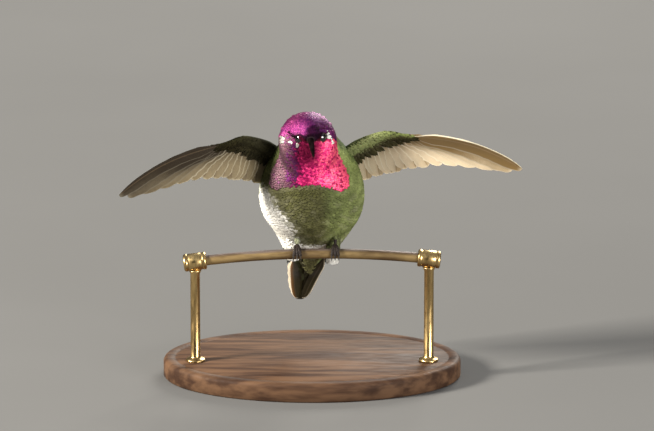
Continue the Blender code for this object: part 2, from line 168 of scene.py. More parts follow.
def ease(low: float, high: float, x: Array) -> Array:
    """Rise smoothly from 0 at low to 1 at high."""
    t = np.clip((np.asarray(x, float) - low) / (high - low), 0.0, 1.0)
    return t * t * (3 - 2 * t)


def unit(v: Array) -> Array:
    """Scale vectors on the last axis to length 1."""
    return v / np.maximum(np.linalg.norm(v, axis=-1, keepdims=True), 1e-12)


def wrap(v: Array) -> Array:
    """Bring angles between -pi and pi."""
    return np.mod(v + math.pi, 2 * math.pi) - math.pi


def body_rows(u: Array) -> tuple[Array, ...]:
    """Read the body's sections.

    Args:
        u: section numbers, of any shape.

    Returns:
        Middle x, y and z, half the way from belly to back in y and z, and half width.
    """
    x, back_y, back_z, belly_y, belly_z, width = np.moveaxis(spline_rows(BODY_SECTIONS, u), -1, 0)
    return (x, 0.5 * (back_y + belly_y), 0.5 * (back_z + belly_z),
            0.5 * (back_y - belly_y), 0.5 * (back_z - belly_z), width)


def beside_coverts(u: Array, x: Array) -> Array:
    """Whether a place lies beside the narrowing wedge of the under tail coverts."""
    return np.abs(x + 0.7) > 3.0 * (14.6 - u) / 2.15


def wire_z(x: Array) -> Array:
    """Height of the bowed wire's middle at x."""
    return WIRE_TOP - WIRE_BOW * (x - WIRE_PEAK) ** 2


def to_frame(points: Array) -> Array:
    """Turn millimetres from the wire into metres in the shared frame."""
    return (np.asarray(points, float) + (0.0, WIRE_Y, WIRE_HEIGHT)) * MM


# ---------- surfaces that feathers lie on
class Surface:
    """A curved sheet with its own coordinates u and v."""

    def point(self, u: Array, v: Array, height: Array) -> Array:
        """Point at (u, v), raised outward by a height."""
        raise NotImplementedError

    def unwrap(self, u: Array, v: Array) -> Array:
        """Place of (u, v) in the OFBake map, from 0 to 1."""
        raise NotImplementedError

    def stretch(self, u: Array, v: Array) -> tuple[Array, Array]:
        """Measure how long a unit of each coordinate is.

        Args:
            u: first coordinate.
            v: second coordinate.

        Returns:
            Millimetres for a unit of u, and for a unit of v.
        """
        e = 0.01
        zero = np.zeros_like(u)
        along = self.point(u + e, v, zero) - self.point(u - e, v, zero)
        across = self.point(u, v + e, zero) - self.point(u, v - e, zero)
        return (np.maximum(np.linalg.norm(along, axis=-1) / (2 * e), 0.4),
                np.maximum(np.linalg.norm(across, axis=-1) / (2 * e), 0.4))


class BodySurface(Surface):
    """Head to tail: u is the section number, v the angle from the back towards +X."""

    def point(self, u: Array, v: Array, height: Array) -> Array:
        """Point on the body's outline, raised outward by a height.

        Args:
            u: section numbers.
            v: angles from the back.
            height: distance outward.

        Returns:
            Points in millimetres.
        """
        x, y, z, half_y, half_z, width = body_rows(u)
        depth = np.hypot(half_y, half_z)
        angle = v + HEAD_ROLL * np.clip((6.0 - u) / 3.0, 0.0, 1.0)
        rise = np.cos(angle) * (depth + height) / depth
        return np.stack([x + np.sin(angle) * (width + height), y + half_y * rise, z + half_z * rise],
                        axis=-1)

    def unwrap(self, u: Array, v: Array) -> Array:
        """Section number up the map, angle across it."""
        turn = np.mod(v / (2 * math.pi) + 0.5, 1.0)
        return np.stack([0.02 + 0.96 * turn, 0.02 + 0.96 * u / 18.0], axis=-1)


@dataclass(frozen=True)
class WingPlan:
    """Where one wing sits and how it is held; p runs out along it and q back across it."""

    side: Side
    sweep: float
    droop: float
    shoulder: Triple = (11.0, -1.0, 33.9)
    steepness: float = 66.0
    camber: float = 1.1

    def axes(self) -> tuple[Array, ...]:
        """Shoulder, span, chord and upper directions.

        Returns:
            The shoulder's place and three unit vectors.
        """
        sweep, droop, steep = np.radians([self.sweep, self.droop, self.steepness])
        sign = self.side.value
        span = unit(np.array([sign * math.cos(sweep) * math.cos(droop), -math.sin(sweep),
                              -math.sin(droop)]))
        chord = np.array([0.0, math.cos(steep), -math.sin(steep)])
        chord = unit(chord - span * chord.dot(span))
        upper = np.cross(span, chord) * sign
        if upper[1] < 0:
            upper = -upper
        return np.array(self.shoulder) * (sign, 1, 1), span, chord, upper

    def place(self, p: Array, q: Array, height: Array) -> Array:
        """Point at (p, q), raised above the wing's hollow middle sheet.

        Args:
            p: distance out from the shoulder.
            q: distance back from the shoulder's line.
            height: distance towards the upper side.

        Returns:
            Points in millimetres.
        """
        origin, span, chord, upper = self.axes()
        front, back = read_edge(LEADING_EDGE, p), read_edge(TRAILING_EDGE, p)
        share = np.clip((q - front) / np.maximum(back - front, 0.5), 0.0, 1.0)
        hollow = self.camber * np.sin(math.pi * share) * np.minimum(1.0, (back - front) / 12.0)
        lift = np.asarray(height + hollow)[..., None]
        return origin + span * np.asarray(p)[..., None] + chord * np.asarray(q)[..., None] + upper * lift


@dataclass(frozen=True)
class WingSurface(Surface):
    """One face of a wing over its flesh and quills: u is p and v is q."""

    plan: WingPlan
    face: Face

    def flesh(self, p: Array, q: Array) -> Array:
        """Half thickness of the arm's flesh under a point.

        Args:
            p: distance out from the shoulder.
            q: distance back from its line.

        Returns:
            Millimetres.
        """
        f = np.clip(p / ARM_REACH, 0.0, 1.0)
        front = read_edge(LEADING_EDGE, p)
        reach = 0.5 * (6.0 - 3.0 * f)
        t = np.clip((q - front - reach) / reach, -1.0, 1.4)
        bulge = (2.1 - 1.35 * f) * np.sqrt(np.clip(1 - t * t, 0.0, 1.0))
        return np.maximum(bulge, 0.45 - 0.15 * f) * ease(ARM_REACH + 6, ARM_REACH, p)

    def point(self, u: Array, v: Array, height: Array) -> Array:
        """Point on this face, raised outward by a height."""
        return self.plan.place(u, v, self.face.value * (self.flesh(u, v) + height))

    def unwrap(self, u: Array, v: Array) -> Array:
        """Span along the map, chord across one half of it."""
        half = 0.0 if self.face is Face.UPPER else 0.5
        return np.stack([0.04 + 0.9 * np.clip(u + 4, 0, 60) / 60.0,
                         half + 0.03 + 0.44 * np.clip(v + 9, 0, 24) / 24.0], axis=-1)


@dataclass(frozen=True)
class TubeSurface(Surface):
    """A tapered tuft or shank: u runs from 0 to 1 down its middle line, v is the angle."""

    line: Array
    radii: Array

    def point(self, u: Array, v: Array, height: Array) -> Array:
        """Point on the tube's wall, raised outward by a height.

        Args:
            u: shares of the tube's length.
            v: angles round it.
            height: distance outward.

        Returns:
            Points in millimetres.
        """
        table = np.column_stack([self.line, self.radii])
        row = spline_rows(table, np.asarray(u) * (len(table) - 1))
        radius = (row[..., 3] + height)[..., None]
        return row[..., :3] + radius * np.stack([np.sin(v), np.cos(v), np.zeros_like(v)], axis=-1)

    def unwrap(self, u: Array, v: Array) -> Array:
        """Length up the map, angle across it."""
        turn = np.mod(v / (2 * math.pi), 1.0)
        return np.stack([0.02 + 0.96 * turn, 0.02 + 0.96 * np.clip(u, 0, 1)], axis=-1)


# ---------- meshes
@dataclass
class MeshData:
    """Points, faces and point values of one mesh before it becomes a piece."""

    points: Array
    faces: list[tuple[int, ...]] | Array
    values: dict[str, Array] = field(default_factory=dict)
    uv: Array | None = None

    @staticmethod
    def join(parts: list[MeshData]) -> MeshData:
        """Put several meshes with the same values into one.

        Args:
            parts: the meshes.

        Returns:
            One mesh.
        """
        starts = np.cumsum([0] + [len(p.points) for p in parts[:-1]])
        faces = [tuple(int(i) + int(k) for i in f) for p, k in zip(parts, starts) for f in p.faces]
        names = parts[0].values
        uv = np.concatenate([p.uv for p in parts]) if parts[0].uv is not None else None
        return MeshData(np.concatenate([p.points for p in parts]), faces,
                        {n: np.concatenate([p.values[n] for p in parts]) for n in names}, uv)


def put_in_scene(name: str, data: bpy.types.ID) -> Object:
    """Make an object of a mesh, light or camera and link it.

    Args:
        name: the object's name.
        data: what it shows or does.

    Returns:
        The linked object.
    """
    made = bpy.data.objects.new(name, data)
    bpy.context.scene.collection.objects.link(made)
    return made


def make_mesh(name: str, data: MeshData, creased: bool = False) -> Object:
    """Build a linked object from mesh data in millimetres.

    Args:
        name: the piece's name.
        data: points, faces, point values and map.
        creased: whether thin rims stay sharp.

    Returns:
        The new object.
    """
    mesh = bpy.data.meshes.new(name)
    points = to_frame(data.points)
    if isinstance(data.faces, np.ndarray):
        count, sides = data.faces.shape
        mesh.vertices.add(len(points))
        mesh.vertices.foreach_set("co", points.ravel())
        mesh.loops.add(count * sides)
        mesh.loops.foreach_set("vertex_index", data.faces.ravel())
        mesh.polygons.add(count)
        mesh.polygons.foreach_set("loop_start", np.arange(0, count * sides, sides))
        mesh.update(calc_edges=True)
    else:
        mesh.from_pydata(points.tolist(), [], data.faces)
    for key, values in data.values.items():
        kind, entry = ("FLOAT_VECTOR", "vector") if values.ndim == 2 else ("FLOAT", "value")
        layer = mesh.attributes.new(key, kind, "POINT")
        layer.data.foreach_set(entry, values.astype(np.float32).ravel())
    if data.uv is not None:
        corners = np.empty(len(mesh.loops), dtype=np.int32)
        mesh.loops.foreach_get("vertex_index", corners)
        layer = mesh.uv_layers.new(name="OFBake")
        layer.data.foreach_set("uv", data.uv[corners].astype(np.float32).ravel())
    mesh.validate()
    count = len(mesh.polygons)
    mesh.polygons.foreach_set("use_smooth", np.ones(count, dtype=bool))
    normals, middles, areas = np.empty(3 * count), np.empty(3 * count), np.empty(count)
    for key, values in (("normal", normals), ("center", middles), ("area", areas)):
        mesh.polygons.foreach_get(key, values)
    middles = middles.reshape(-1, 3) - points.mean(0)
    if (areas * (normals.reshape(-1, 3) * middles).sum(1)).sum() < 0:
        mesh.flip_normals()
    if creased:
        mesh.set_sharp_from_angle(angle=math.radians(70))
    return put_in_scene(name, mesh)


def ring_pairs(count: int) -> list[tuple[int, int]]:
    """Each point of a closed ring with the next one."""
    return [(j, (j + 1) % count) for j in range(count)]


def loft(rings: Array) -> MeshData:
    """Closed solid through rings of one point count.

    Args:
        rings: array of ring, point and coordinate.

    Returns:
        The solid, with flat caps.
    """
    steps, count = rings.shape[:2]
    last = (steps - 1) * count
    faces = [(i + a, i + b, i + b + count, i + a + count)
             for i in range(0, last, count) for a, b in ring_pairs(count)]
    faces += [tuple(reversed(range(count))), tuple(range(last, last + count))]
    return MeshData(rings.reshape(-1, 3), faces)


def sweep(line: Array, radii: Array, sides: int, squash: float = 1.0) -> MeshData:
    """Tube of changing radius along a line.

    Args:
        line: middle points.
        radii: one radius for each point.
        sides: points round the tube.
        squash: width of the tube's second axis, as a share of the first.

    Returns:
        The closed tube.
    """
    line, radii = np.asarray(line, float), np.asarray(radii, float)
    ahead = unit(np.gradient(line, axis=0))
    side = np.cross(ahead[0], (0.0, 0.0, 1.0) if abs(ahead[0][2]) < 0.9 else (1.0, 0.0, 0.0))
    angles = np.linspace(0, 2 * math.pi, sides, endpoint=False)
    rings = []
    for centre, way, radius in zip(line, ahead, radii):
        side = unit(side - way * side.dot(way))
        up = np.cross(way, side)
        rings.append(centre + radius * (np.cos(angles)[:, None] * side
                                        + squash * np.sin(angles)[:, None] * up))
    return loft(np.array(rings))


def turn_profile(profile: Array, centre: Array, axis: Array, segments: int) -> MeshData:
    """Solid of revolution.

    Args:
        profile: rows of (distance along the axis, radius).
        centre: origin of the axis.
        axis: its direction.
        segments: points round it.

    Returns:
        The closed turned solid.
    """
    axis = unit(np.asarray(axis, float))
    side = unit(np.cross(axis, (0.0, 1.0, 0.0) if abs(axis[1]) < 0.9 else (1.0, 0.0, 0.0)))
    up = np.cross(axis, side)
    angles = np.linspace(0, 2 * math.pi, segments, endpoint=False)
    circle = np.cos(angles)[:, None] * side + np.sin(angles)[:, None] * up
    return loft(np.array([np.asarray(centre) + axis * d + circle * r for d, r in profile]))


# ---------- feathers
@dataclass(frozen=True)
class Vane:
    """One kind of small feather: a closed lens with a rounded, toothed tip."""

    rows: int = 5
    columns: int = 4
    teeth: float = 0.04
    cup: float = 0.06
    thickness: float = 0.05
    blunt: float = 0.45

    def outline(self, a: Array) -> Array:
        """Half width at a share of the length, as a share of the widest."""
        end = np.clip(a - 0.55, 0, 1) / (0.45 + 0.10 * self.blunt)
        return (0.30 + 0.70 * ease(0.0, 0.55, a)) * np.sqrt(np.clip(1 - end ** 2, 0, 1))

    def grid(self) -> tuple[Array, ...]:
        """Lay out the lens.

        Returns:
            Along and across of each point, -1 to 1 from inner to outer face, and the faces.
        """
        r, c = self.rows, self.columns
        steps = 1 - (1 - np.linspace(0, 1, r + 1)) ** 1.35
        a, b = np.meshgrid(steps, np.linspace(-1, 1, c + 1), indexing="ij")
        top = np.arange((r + 1) * (c + 1)).reshape(r + 1, c + 1)
        under = top.copy()
        inner = (r - 1) * (c - 1)
        under[1:-1, 1:-1] = np.arange(top.size, top.size + inner).reshape(r - 1, c - 1)
        quads = []
        for sheet, flip in ((top, False), (under, True)):
            corners = np.stack([sheet[:-1, :-1], sheet[1:, :-1], sheet[1:, 1:], sheet[:-1, 1:]], -1)
            corners = corners.reshape(-1, 4)
            quads.append(corners[:, ::-1] if flip else corners)
        along, across = (np.concatenate([x.ravel(), x[1:-1, 1:-1].ravel()]) for x in (a, b))
        rim = np.ones((r + 1, c + 1))
        rim[0], rim[-1], rim[:, 0], rim[:, -1] = 0, 0, 0, 0
        outer = np.concatenate([rim.ravel(), -np.ones(inner)])
        return along, across, outer, np.concatenate(quads)


@dataclass
class FeatherBed:
    """Many small feathers on one surface, each with its own root, size and lie."""

    surface: Surface
    u: Array
    v: Array
    length: Array
    width: Array
    turn: Array
    root_height: Array
    tip_height: Array
    marks: Array
    play: Array
    vane: Vane = Vane()

    def mesh(self) -> MeshData:
        """Mesh every feather of the bed.

        Returns:
            The joined feathers, with their marks and their patches of the OFBake map.
        """
        along, across, outer, quads = self.vane.grid()
        inside = (outer < 0).astype(float)
        rng = np.random.default_rng(SEED + len(self.u))
        a, c = along[None, :], across[None, :]
        length, width = self.length[:, None], self.width[:, None]
        swell = self.vane.outline(a)
        teeth = self.vane.teeth * np.cos(math.pi * across * self.vane.columns / 2)
        notch = np.where(a > 0.99, teeth, 0.0)
        jag = 1 + 0.35 * rng.standard_normal((len(self.u), 1))
        forward = length * (a - 0.14 * c ** 2 * a ** 2 + notch * jag)
        sideways = 0.5 * width * c * swell
        turn = self.turn[:, None]
        du = forward * np.cos(turn) - sideways * np.sin(turn)
        dv = forward * np.sin(turn) + sideways * np.cos(turn)
        per_u, per_v = self.surface.stretch(self.u, self.v)
        u = self.u[:, None] + du / per_u[:, None]
        v = self.v[:, None] + dv / per_v[:, None]
        rise = self.root_height[:, None] + (self.tip_height - self.root_height)[:, None] * a ** 1.15
        height = (rise - self.vane.cup * width * c ** 2 * (0.3 + 0.7 * a)
                  + 0.012 * np.exp(-(c / 0.2) ** 2)
                  - inside * self.vane.thickness * (1 - 0.6 * np.abs(c)))
        points = self.surface.point(u, v, height)
        count, size = len(self.u), len(along)
        faces = (quads[None] + (np.arange(count) * size)[:, None, None]).reshape(-1, 4)
        spread = np.ones((count, 1))
        barb = np.stack([spread * c, spread * a, self.play[:, :1] * np.ones((1, size))], -1)
        uv = self.surface.unwrap(self.u, self.v)[:, None, :]
        uv = uv + PATCH * np.stack([spread * 0.5 * c, spread * (a - 0.5)], -1)
        marks = np.repeat(self.marks, size, axis=0)
        play = np.repeat(self.play, size, axis=0)
        return MeshData(points.reshape(-1, 3), faces,
                        {"barb": barb.reshape(-1, 3), "marks": marks, "play": play},
                        uv.reshape(-1, 2))


def scatter(surface: Surface, u_range: Pair, v_range: Pair,
            spacing: Callable[[Array, Array], Array], tries: int,
            seed: int) -> tuple[Array, Array]:
    """Pick evenly spread roots on a surface.

    Args:
        surface: where the roots lie.
        u_range: lowest and highest u.
        v_range: lowest and highest v.
        spacing: function of u and v that gives the least distance between roots.
        tries: number of places tried.
        seed: for the random numbers.

    Returns:
        The u and v of the roots.
    """
    rng = np.random.default_rng(seed)
    u = rng.uniform(*u_range, tries)
    v = rng.uniform(*v_range, tries)
    gaps = np.asarray(spacing(u, v), float)
    points = surface.point(u, v, np.zeros(tries))
    cell = max(float(gaps.max()), 1e-3)
    keys = np.floor(points / cell).astype(int)
    taken: dict[tuple[int, int, int], list[int]] = {}
    kept: list[int] = []
    offsets = [(x, y, z) for x in (-1, 0, 1) for y in (-1, 0, 1) for z in (-1, 0, 1)]
    for i in range(tries):
        if gaps[i] <= 0:
            continue
        kx, ky, kz = keys[i]
        near = [j for x, y, z in offsets for j in taken.get((kx + x, ky + y, kz + z), ())]
        if near:
            apart = points[near] - points[i]
            if (np.einsum("ij,ij->i", apart, apart) < gaps[i] ** 2).any():
                continue
        taken.setdefault((kx, ky, kz), []).append(i)
        kept.append(i)
    return u[kept], v[kept]


# ---------- markings
def blob(points: Array, centre: Triple, radii: Triple) -> Array:
    """Soft spot: 1 inside an oval region and 0 outside."""
    reach = np.linalg.norm((points - np.array(centre)) / np.array(radii), axis=-1)
    return ease(1.15, 0.75, reach)


def stroke(points: Array, start: Triple, stop: Triple, width: float) -> Array:
    """Soft line: 1 near the line from start to stop and 0 beyond its width.

    Args:
        points: places in millimetres.
        start: one end of the line.
        stop: its other end.
        width: distance at which it fades.

    Returns:
        Values from 0 to 1.
    """
    a, b = np.array(start), np.array(stop)
    f = np.clip((points - a) @ (b - a) / ((b - a) @ (b - a)), 0, 1)
    reach = np.linalg.norm(points - (a + f[..., None] * (b - a)), axis=-1) / width
    return ease(1.2, 0.7, reach)


class Ground:
    """Places on the body, with the measures that the markings read."""

    def __init__(self, u: Array, v: Array, points: Array, chance: Array | float = SKIN_CHANCE) -> None:
        """Measure the places.

        Args:
            u: section numbers.
            v: angles from the back, between -pi and pi.
            points: the same places in millimetres.
            chance: 0 to 1 for each place, to break up the borders.
        """
        self.u, self.v, self.points, self.chance = u, v, points, chance
        x, _, z = np.moveaxis(points, -1, 0)
        self.x, self.z = x, z
        self.angle = np.degrees(np.abs(v))
        self.wobble = chance - 0.5
        self.belly = ease(76, 108, self.angle + 26 * self.wobble)
        self.trunk = ease(6.4, 7.4, u)
        border = -12.9 + 0.49 * (21.5 - z) + 1.6 * np.exp(-((z - 12.0) / 4.0) ** 2) + 2.2 * self.wobble
        self.flank = x - border
        self.low = ease(24.5, 22, z + 4 * self.wobble) * ease(-2.5, 0.5, z)
        self.wave = (np.sin(0.95 * x + 1.6 * np.sin(0.45 * z + 0.6))
                     * np.sin(0.75 * z + 1.3 * np.sin(0.6 * x) + 1.0)
                     + 0.5 * np.sin(1.9 * x + 0.8) * np.sin(1.6 * z + 0.9 * np.sin(x)))


@dataclass(frozen=True)
class Markings:
    """Where each colour of the plumage lies, as masks from 0 to 1."""

    gorget_edge: tuple[Pair, ...] = (
        (-180, 5.5), (-161, 5.8), (-147, 6.26), (-135, 6.75), (-128, 7.05), (-120, 7.2), (-112, 7.1),
        (-105, 6.65), (-101, 6.1), (-98, 5.2), (-94, 4.75), (-90, 4.55), (-72, 4.3), (-45, 4.25),
        (0, 4.2), (45, 4.25), (72, 4.3), (86, 4.6), (93, 5.05), (101, 5.5), (108, 6.1), (116, 6.55),
        (122, 6.78), (130, 6.9), (138, 6.85), (145, 6.5), (154, 6.05), (165, 5.65), (180, 5.5))
    # Along x the rose hue shifts as painted reflection: the crown is painted bright magenta on its -x
    # side and the gorget hot pink on its +x side, where they catch the light.
    crown_reflection_hue: tuple[Pair, ...] = (
        (-9, 0.34), (-7, 0.44), (-4.5, 0.40), (-2.5, 0.30), (0, 0.18), (2.5, 0.12), (5, 0.14),
        (8, 0.30))
    gorget_reflection_hue: tuple[Pair, ...] = (
        (-12, 0.53), (-9, 0.51), (-7.6, 0.56), (-6.2, 0.62), (-4.9, 0.66), (-3.6, 0.77),
        (-1.5, 0.83), (1.5, 0.88), (5, 0.94), (10, 1.0))

    face_spots: tuple[tuple[Triple, float], ...] = (
        ((-6.1, -14.2, 39.3), 0.72), ((-4.5, -15.4, 38.8), 0.56))
    cheek_line: tuple[Triple, Triple, float] = ((4.75, -12.85, 42.4), (6.35, -12.8, 38.2), 0.50)
    # The first two strokes darken the lores; the third, over the -x eye, is the brow's painted shadow.
    lores_and_brow_shadow: tuple[tuple[Triple, Triple, float], ...] = (
        ((-0.5, -17.6, 41.3), (3.0, -15.4, 41.3), 1.5),
        ((-0.9, -17.6, 40.9), (-4.2, -15.6, 41.1), 1.2),
        ((-1.8, -17.7, 41.0), (-6.9, -12.9, 42.0), 0.42))

    def rose(self, u: Array, v: Array) -> Array:
        """Mask of the iridescent crown and gorget."""
        edge = np.interp(np.degrees(wrap(v)), *np.array(self.gorget_edge).T)
        return ease(edge + 0.08, edge - 0.08, u)

    def white(self, g: Ground) -> Array:
        """Mask of the white flank, the band over the feet (partly painted sunlight through its fringes)
        and the marks by the eyes.

        Args:
            g: the places.

        Returns:
            Values from 0 to 1.
        """
        white = ease(1.2, -1.2, g.flank) * g.low * g.belly * g.trunk
        white = white * (1 - 0.62 * ease(-0.1, 0.8, g.wave + 0.8 * g.wobble)
                         * ease(-4.2, -1.2, g.flank))
        # the band over the feet is partly the pale vent and partly painted sunlight through its fringes
        layers = [white, ease(11.45, 11.6, g.u) * ease(12.4, 12.1, g.u)
                  * ease(120, 140, g.angle),
                  0.80 * blob(g.points, (-9.05, -12.4, 39.7), (0.9, 1.5, 1.4)),
                  0.90 * stroke(g.points, *self.cheek_line)]
        layers += [0.80 * blob(g.points, place, (1.25 * size, size, size))
                   for place, size in self.face_spots]
        return np.maximum.reduce(layers) * (1 - 0.24 * ease(11.0, 6.0, g.z) * (g.u < 11.4))

    def pale(self, g: Ground, rose: Array) -> Array:
        """Mask of the pale fringes on the breast, the belly and under the gorget.

        Args:
            g: the places.
            rose: their rose mask.

        Returns:
            Values from 0 up.
        """
        pale = (0.04 + 0.40 * ease(3.5, -0.5, g.flank) * g.low) * g.belly * g.trunk
        # pale band at the belly's hem: partly the pale vent, partly painted sunlight through its fringes
        pale = pale + (0.12 * ease(11.0, 11.4, g.u) * ease(12.2, 11.6, g.u) * (g.angle > 110))
        rim = self.rose(g.u - 0.35, g.v) * (1 - rose) * ease(125, 140, g.angle)
        return pale + 0.16 * rim + 0.16 * ease(0.2, 1.0, g.wave) * g.belly * g.trunk

    def dusk(self, g: Ground, rose: Array, white: Array) -> Array:
        """Mask of dark places: bill's base, lores, waves, flecks and the tail's sides; and painted
        shade: the brow's shadow, the bill's shadow on the chin, shade on the breast, the neck's -x side
        and below the hem.

        Args:
            g: the places.
            rose: their rose mask.
            white: their white mask.

        Returns:
            Values from 0 to 1.
        """
        u, x, angle = g.u, g.x, g.angle
        # painted shadow of the bill on the chin
        chin = np.exp(-((x + 2.0) / 4.2) ** 4 - ((u - 1.5) / 1.75) ** 4) * ease(100, 122, angle)
        layers = [
            # painted shade down the -x side of the neck, between the gorget and the shaded wing
            0.75 * (ease(-8.0, -10.0, x) * ease(22, 24.5, g.z) * (angle > 60)
                    * (1 - rose)),
            0.55 * ease(14.0, 15.0, u) * (angle < 90),
            0.34 * ease(0.0, -1.0, g.wave) * g.belly * g.trunk * (1 - white) * (1 - rose),
            0.55 * (g.chance < 0.12) * rose * ease(3.0, 6.0, x),
            0.9 * ((u > 12.35) & beside_coverts(u, x) & (angle > 70)),
            0.97 * ease(0.50, 0.20, u),
            # painted shade below the belly's hem, by the wire
            (0.22 * ease(12.0, 12.3, u) * ease(13.1, 12.7, u) * (angle > 90)
             * (1 - white)),
            # painted shade on the breast under the gorget
            0.36 * ease(9.2, 7.8, u) * ease(110, 130, angle) * (1 - rose),
            0.82 * chin,
            0.75 * blob(g.points, (0.6, -16.2, 43.0), (2.3, 2.0, 2.0))]
        # dark lores and the brow's painted shadow
        layers += [0.96 * stroke(g.points, *line) for line in self.lores_and_brow_shadow]
        return np.maximum.reduce(layers)

    def hue(self, g: Ground, rose: Array) -> Array:
        """Place of each feather on the ramp of its colour.

        Args:
            g: the places.
            rose: their rose mask.

        Returns:
            Hue of the sheen where rose, and how green the feather is elsewhere.
        """
        crown = g.angle + 6 * g.wobble < 88
        # hue along x, which paints the rose's reflection
        hue = np.where(crown, np.interp(g.x, *np.array(self.crown_reflection_hue).T),
                       np.interp(g.x, *np.array(self.gorget_reflection_hue).T))
        hue = hue + np.where(crown, 0.17, 0.10) * g.wobble * 1.6
        hue = np.where(crown, np.clip(hue, 0.01, 0.46), np.clip(hue, 0.50, 0.995))
        # Greener towards the back; the extra green on the +x side only is painted light falling on that
        # side.
        green = np.minimum(0.22 + 0.48 * ease(112, 85, g.angle) + 0.46 * ease(2.0, 8.0, g.x), 0.70)
        green = green + (1 - green) * ease(92, 62, g.angle + 10 * g.wobble)
        green = np.where((g.u > 12.2) & (g.angle > 90), 0.16, green)
        return np.where(rose > 0.5, hue, green)

    def masks(self, g: Ground) -> tuple[Array, Array]:
        """Work out all the masks.

        Args:
            g: the places.

        Returns:
            Rows of (rose, white, pale), and rows of (darkness with painted shade, hue of the sheen).
        """
        white = self.white(g)
        rose = 1.0 * (self.rose(g.u + 0.10 * g.wobble, g.v) > 0.5) * (1 - (white > 0.5))
        pale, dusk = self.pale(g, rose), self.dusk(g, rose, white)
        return (np.stack([rose, np.clip(white, 0, 1), np.clip(pale, 0, 1)], -1),
                np.stack([np.clip(dusk, 0, 1), self.hue(g, rose)], -1))


# ---------- node tools
class Nodes:
    """Short ways to lay out a node tree."""

    def __init__(self, tree: NodeTree) -> None:
        """Keep the tree that nodes are added to."""
        self.tree = tree

    def add(self, kind: str, **settings: object) -> Node:
        """Add a node and set its properties.

        Args:
            kind: the node's type.
            settings: its properties.

        Returns:
            The node.
        """
        node = self.tree.nodes.new(kind)
        for key, value in settings.items():
            setattr(node, key, value)
        return node

    def feed(self, socket: Socket, value: Input) -> None:
        """Link a socket to an input, or set the input's number.

        Args:
            socket: the input.
            value: an output socket, a number or a colour.
        """
        if isinstance(value, Socket):
            self.tree.links.new(value, socket)
        elif isinstance(value, tuple) and len(value) == 3 and socket.type == "RGBA":
            socket.default_value = (*value, 1.0)
        else:
            socket.default_value = value

    def wire(self, node: Node, **values: Input) -> Node:
        """Feed a node's own inputs by name, with _ for a space.

        Args:
            node: the node.
            values: a socket, a number or a colour for each named input.

        Returns:
            The same node.
        """
        for key, value in values.items():
            self.feed(node.inputs[key.replace("_", " ")], value)
        return node

    def fill(self, node: Node, *values: Input) -> Socket:
        """Feed a node's first inputs in order.

        Args:
            node: the node.
            values: a socket or a number for each input.

        Returns:
            The node's first output.
        """
        for socket, value in zip(node.inputs, values):
            self.feed(socket, value)
        return node.outputs[0]

    def math(self, operation: str, a: Input, b: Input = 0.0, clamp: bool = False) -> Socket:
        """Add a Math node and return its output."""
        return self.fill(self.add("ShaderNodeMath", operation=operation, use_clamp=clamp), a, b)

    def times(self, a: Input, b: Input) -> Socket:
        """Multiply two values."""
        return self.math("MULTIPLY", a, b)

    def plus(self, a: Input, b: Input, clamp: bool = False) -> Socket:
        """Add two values."""
        return self.math("ADD", a, b, clamp)

    def mix(self, factor: Input, a: Input, b: Input, blend: str = "MIX") -> Socket:
        """Mix two colours and return the result.

        Args:
            factor: share of the second colour.
            a: first colour.
            b: second colour.
            blend: the way they mix.

        Returns:
            The mixed colour.
        """
        node = self.add("ShaderNodeMix", data_type="RGBA", blend_type=blend)
        self.feed(node.inputs[0], factor)
        self.feed(node.inputs[6], a)
        self.feed(node.inputs[7], b)
        return node.outputs[2]

    def span(self, value: Input, low: float, high: float, to_low: float = 0.0,
             to_high: float = 1.0) -> Socket:
        """Map a range to another smoothly."""
        node = self.add("ShaderNodeMapRange", interpolation_type="SMOOTHSTEP")
        return self.fill(node, value, low, high, to_low, to_high)

    def ramp(self, value: Input, stops: Stops) -> Socket:
        """Colour ramp through stops of place and colour.

        Args:
            value: where to read the ramp.
            stops: rows of place and colour.

        Returns:
            The colour.
        """
        node = self.add("ShaderNodeValToRGB")
        band = node.color_ramp
        while len(band.elements) < len(stops):
            band.elements.new(0.5)
        for element, (place, colour) in zip(band.elements, stops):
            element.position = place
            element.color = (*colour, 1.0)
        self.feed(node.inputs[0], value)
        return node.outputs[0]

    def noise(self, scale: float, detail: float, vector: Socket) -> Socket:
        """Noise texture's value at a scale in features for each metre."""
        return self.wire(self.add("ShaderNodeTexNoise"), Scale=scale, Detail=detail, Roughness=0.55,
                         Vector=vector).outputs["Fac"]

    def carried(self, name: str, output: str = "Vector") -> Socket:
        """Read a vector, or with Fac a number, that the mesh carries at its points."""
        return self.add("ShaderNodeAttribute", attribute_type="GEOMETRY",
                        attribute_name=name).outputs[output]

    def parts(self, vector: Socket) -> NodeOutputs:
        """Split a vector into its three outputs."""
        return self.wire(self.add("ShaderNodeSeparateXYZ"), Vector=vector).outputs

    def place(self, scale: Triple | None = None) -> Socket:
        """Position on the object in metres, stretched along each axis if a scale is given.

        Args:
            scale: stretch of the three axes.

        Returns:
            The position.
        """
        spot = self.add("ShaderNodeTexCoord").outputs["Object"]
        if scale is None:
            return spot
        return self.wire(self.add("ShaderNodeMapping"), Scale=scale, Vector=spot).outputs["Vector"]

    def bump(self, height: Socket, strength: float, distance: float) -> Socket:
        """Normal from a height that varies, with the bump's depth in metres."""
        return self.wire(self.add("ShaderNodeBump"), Strength=strength, Distance=distance,
                         Height=height).outputs["Normal"]


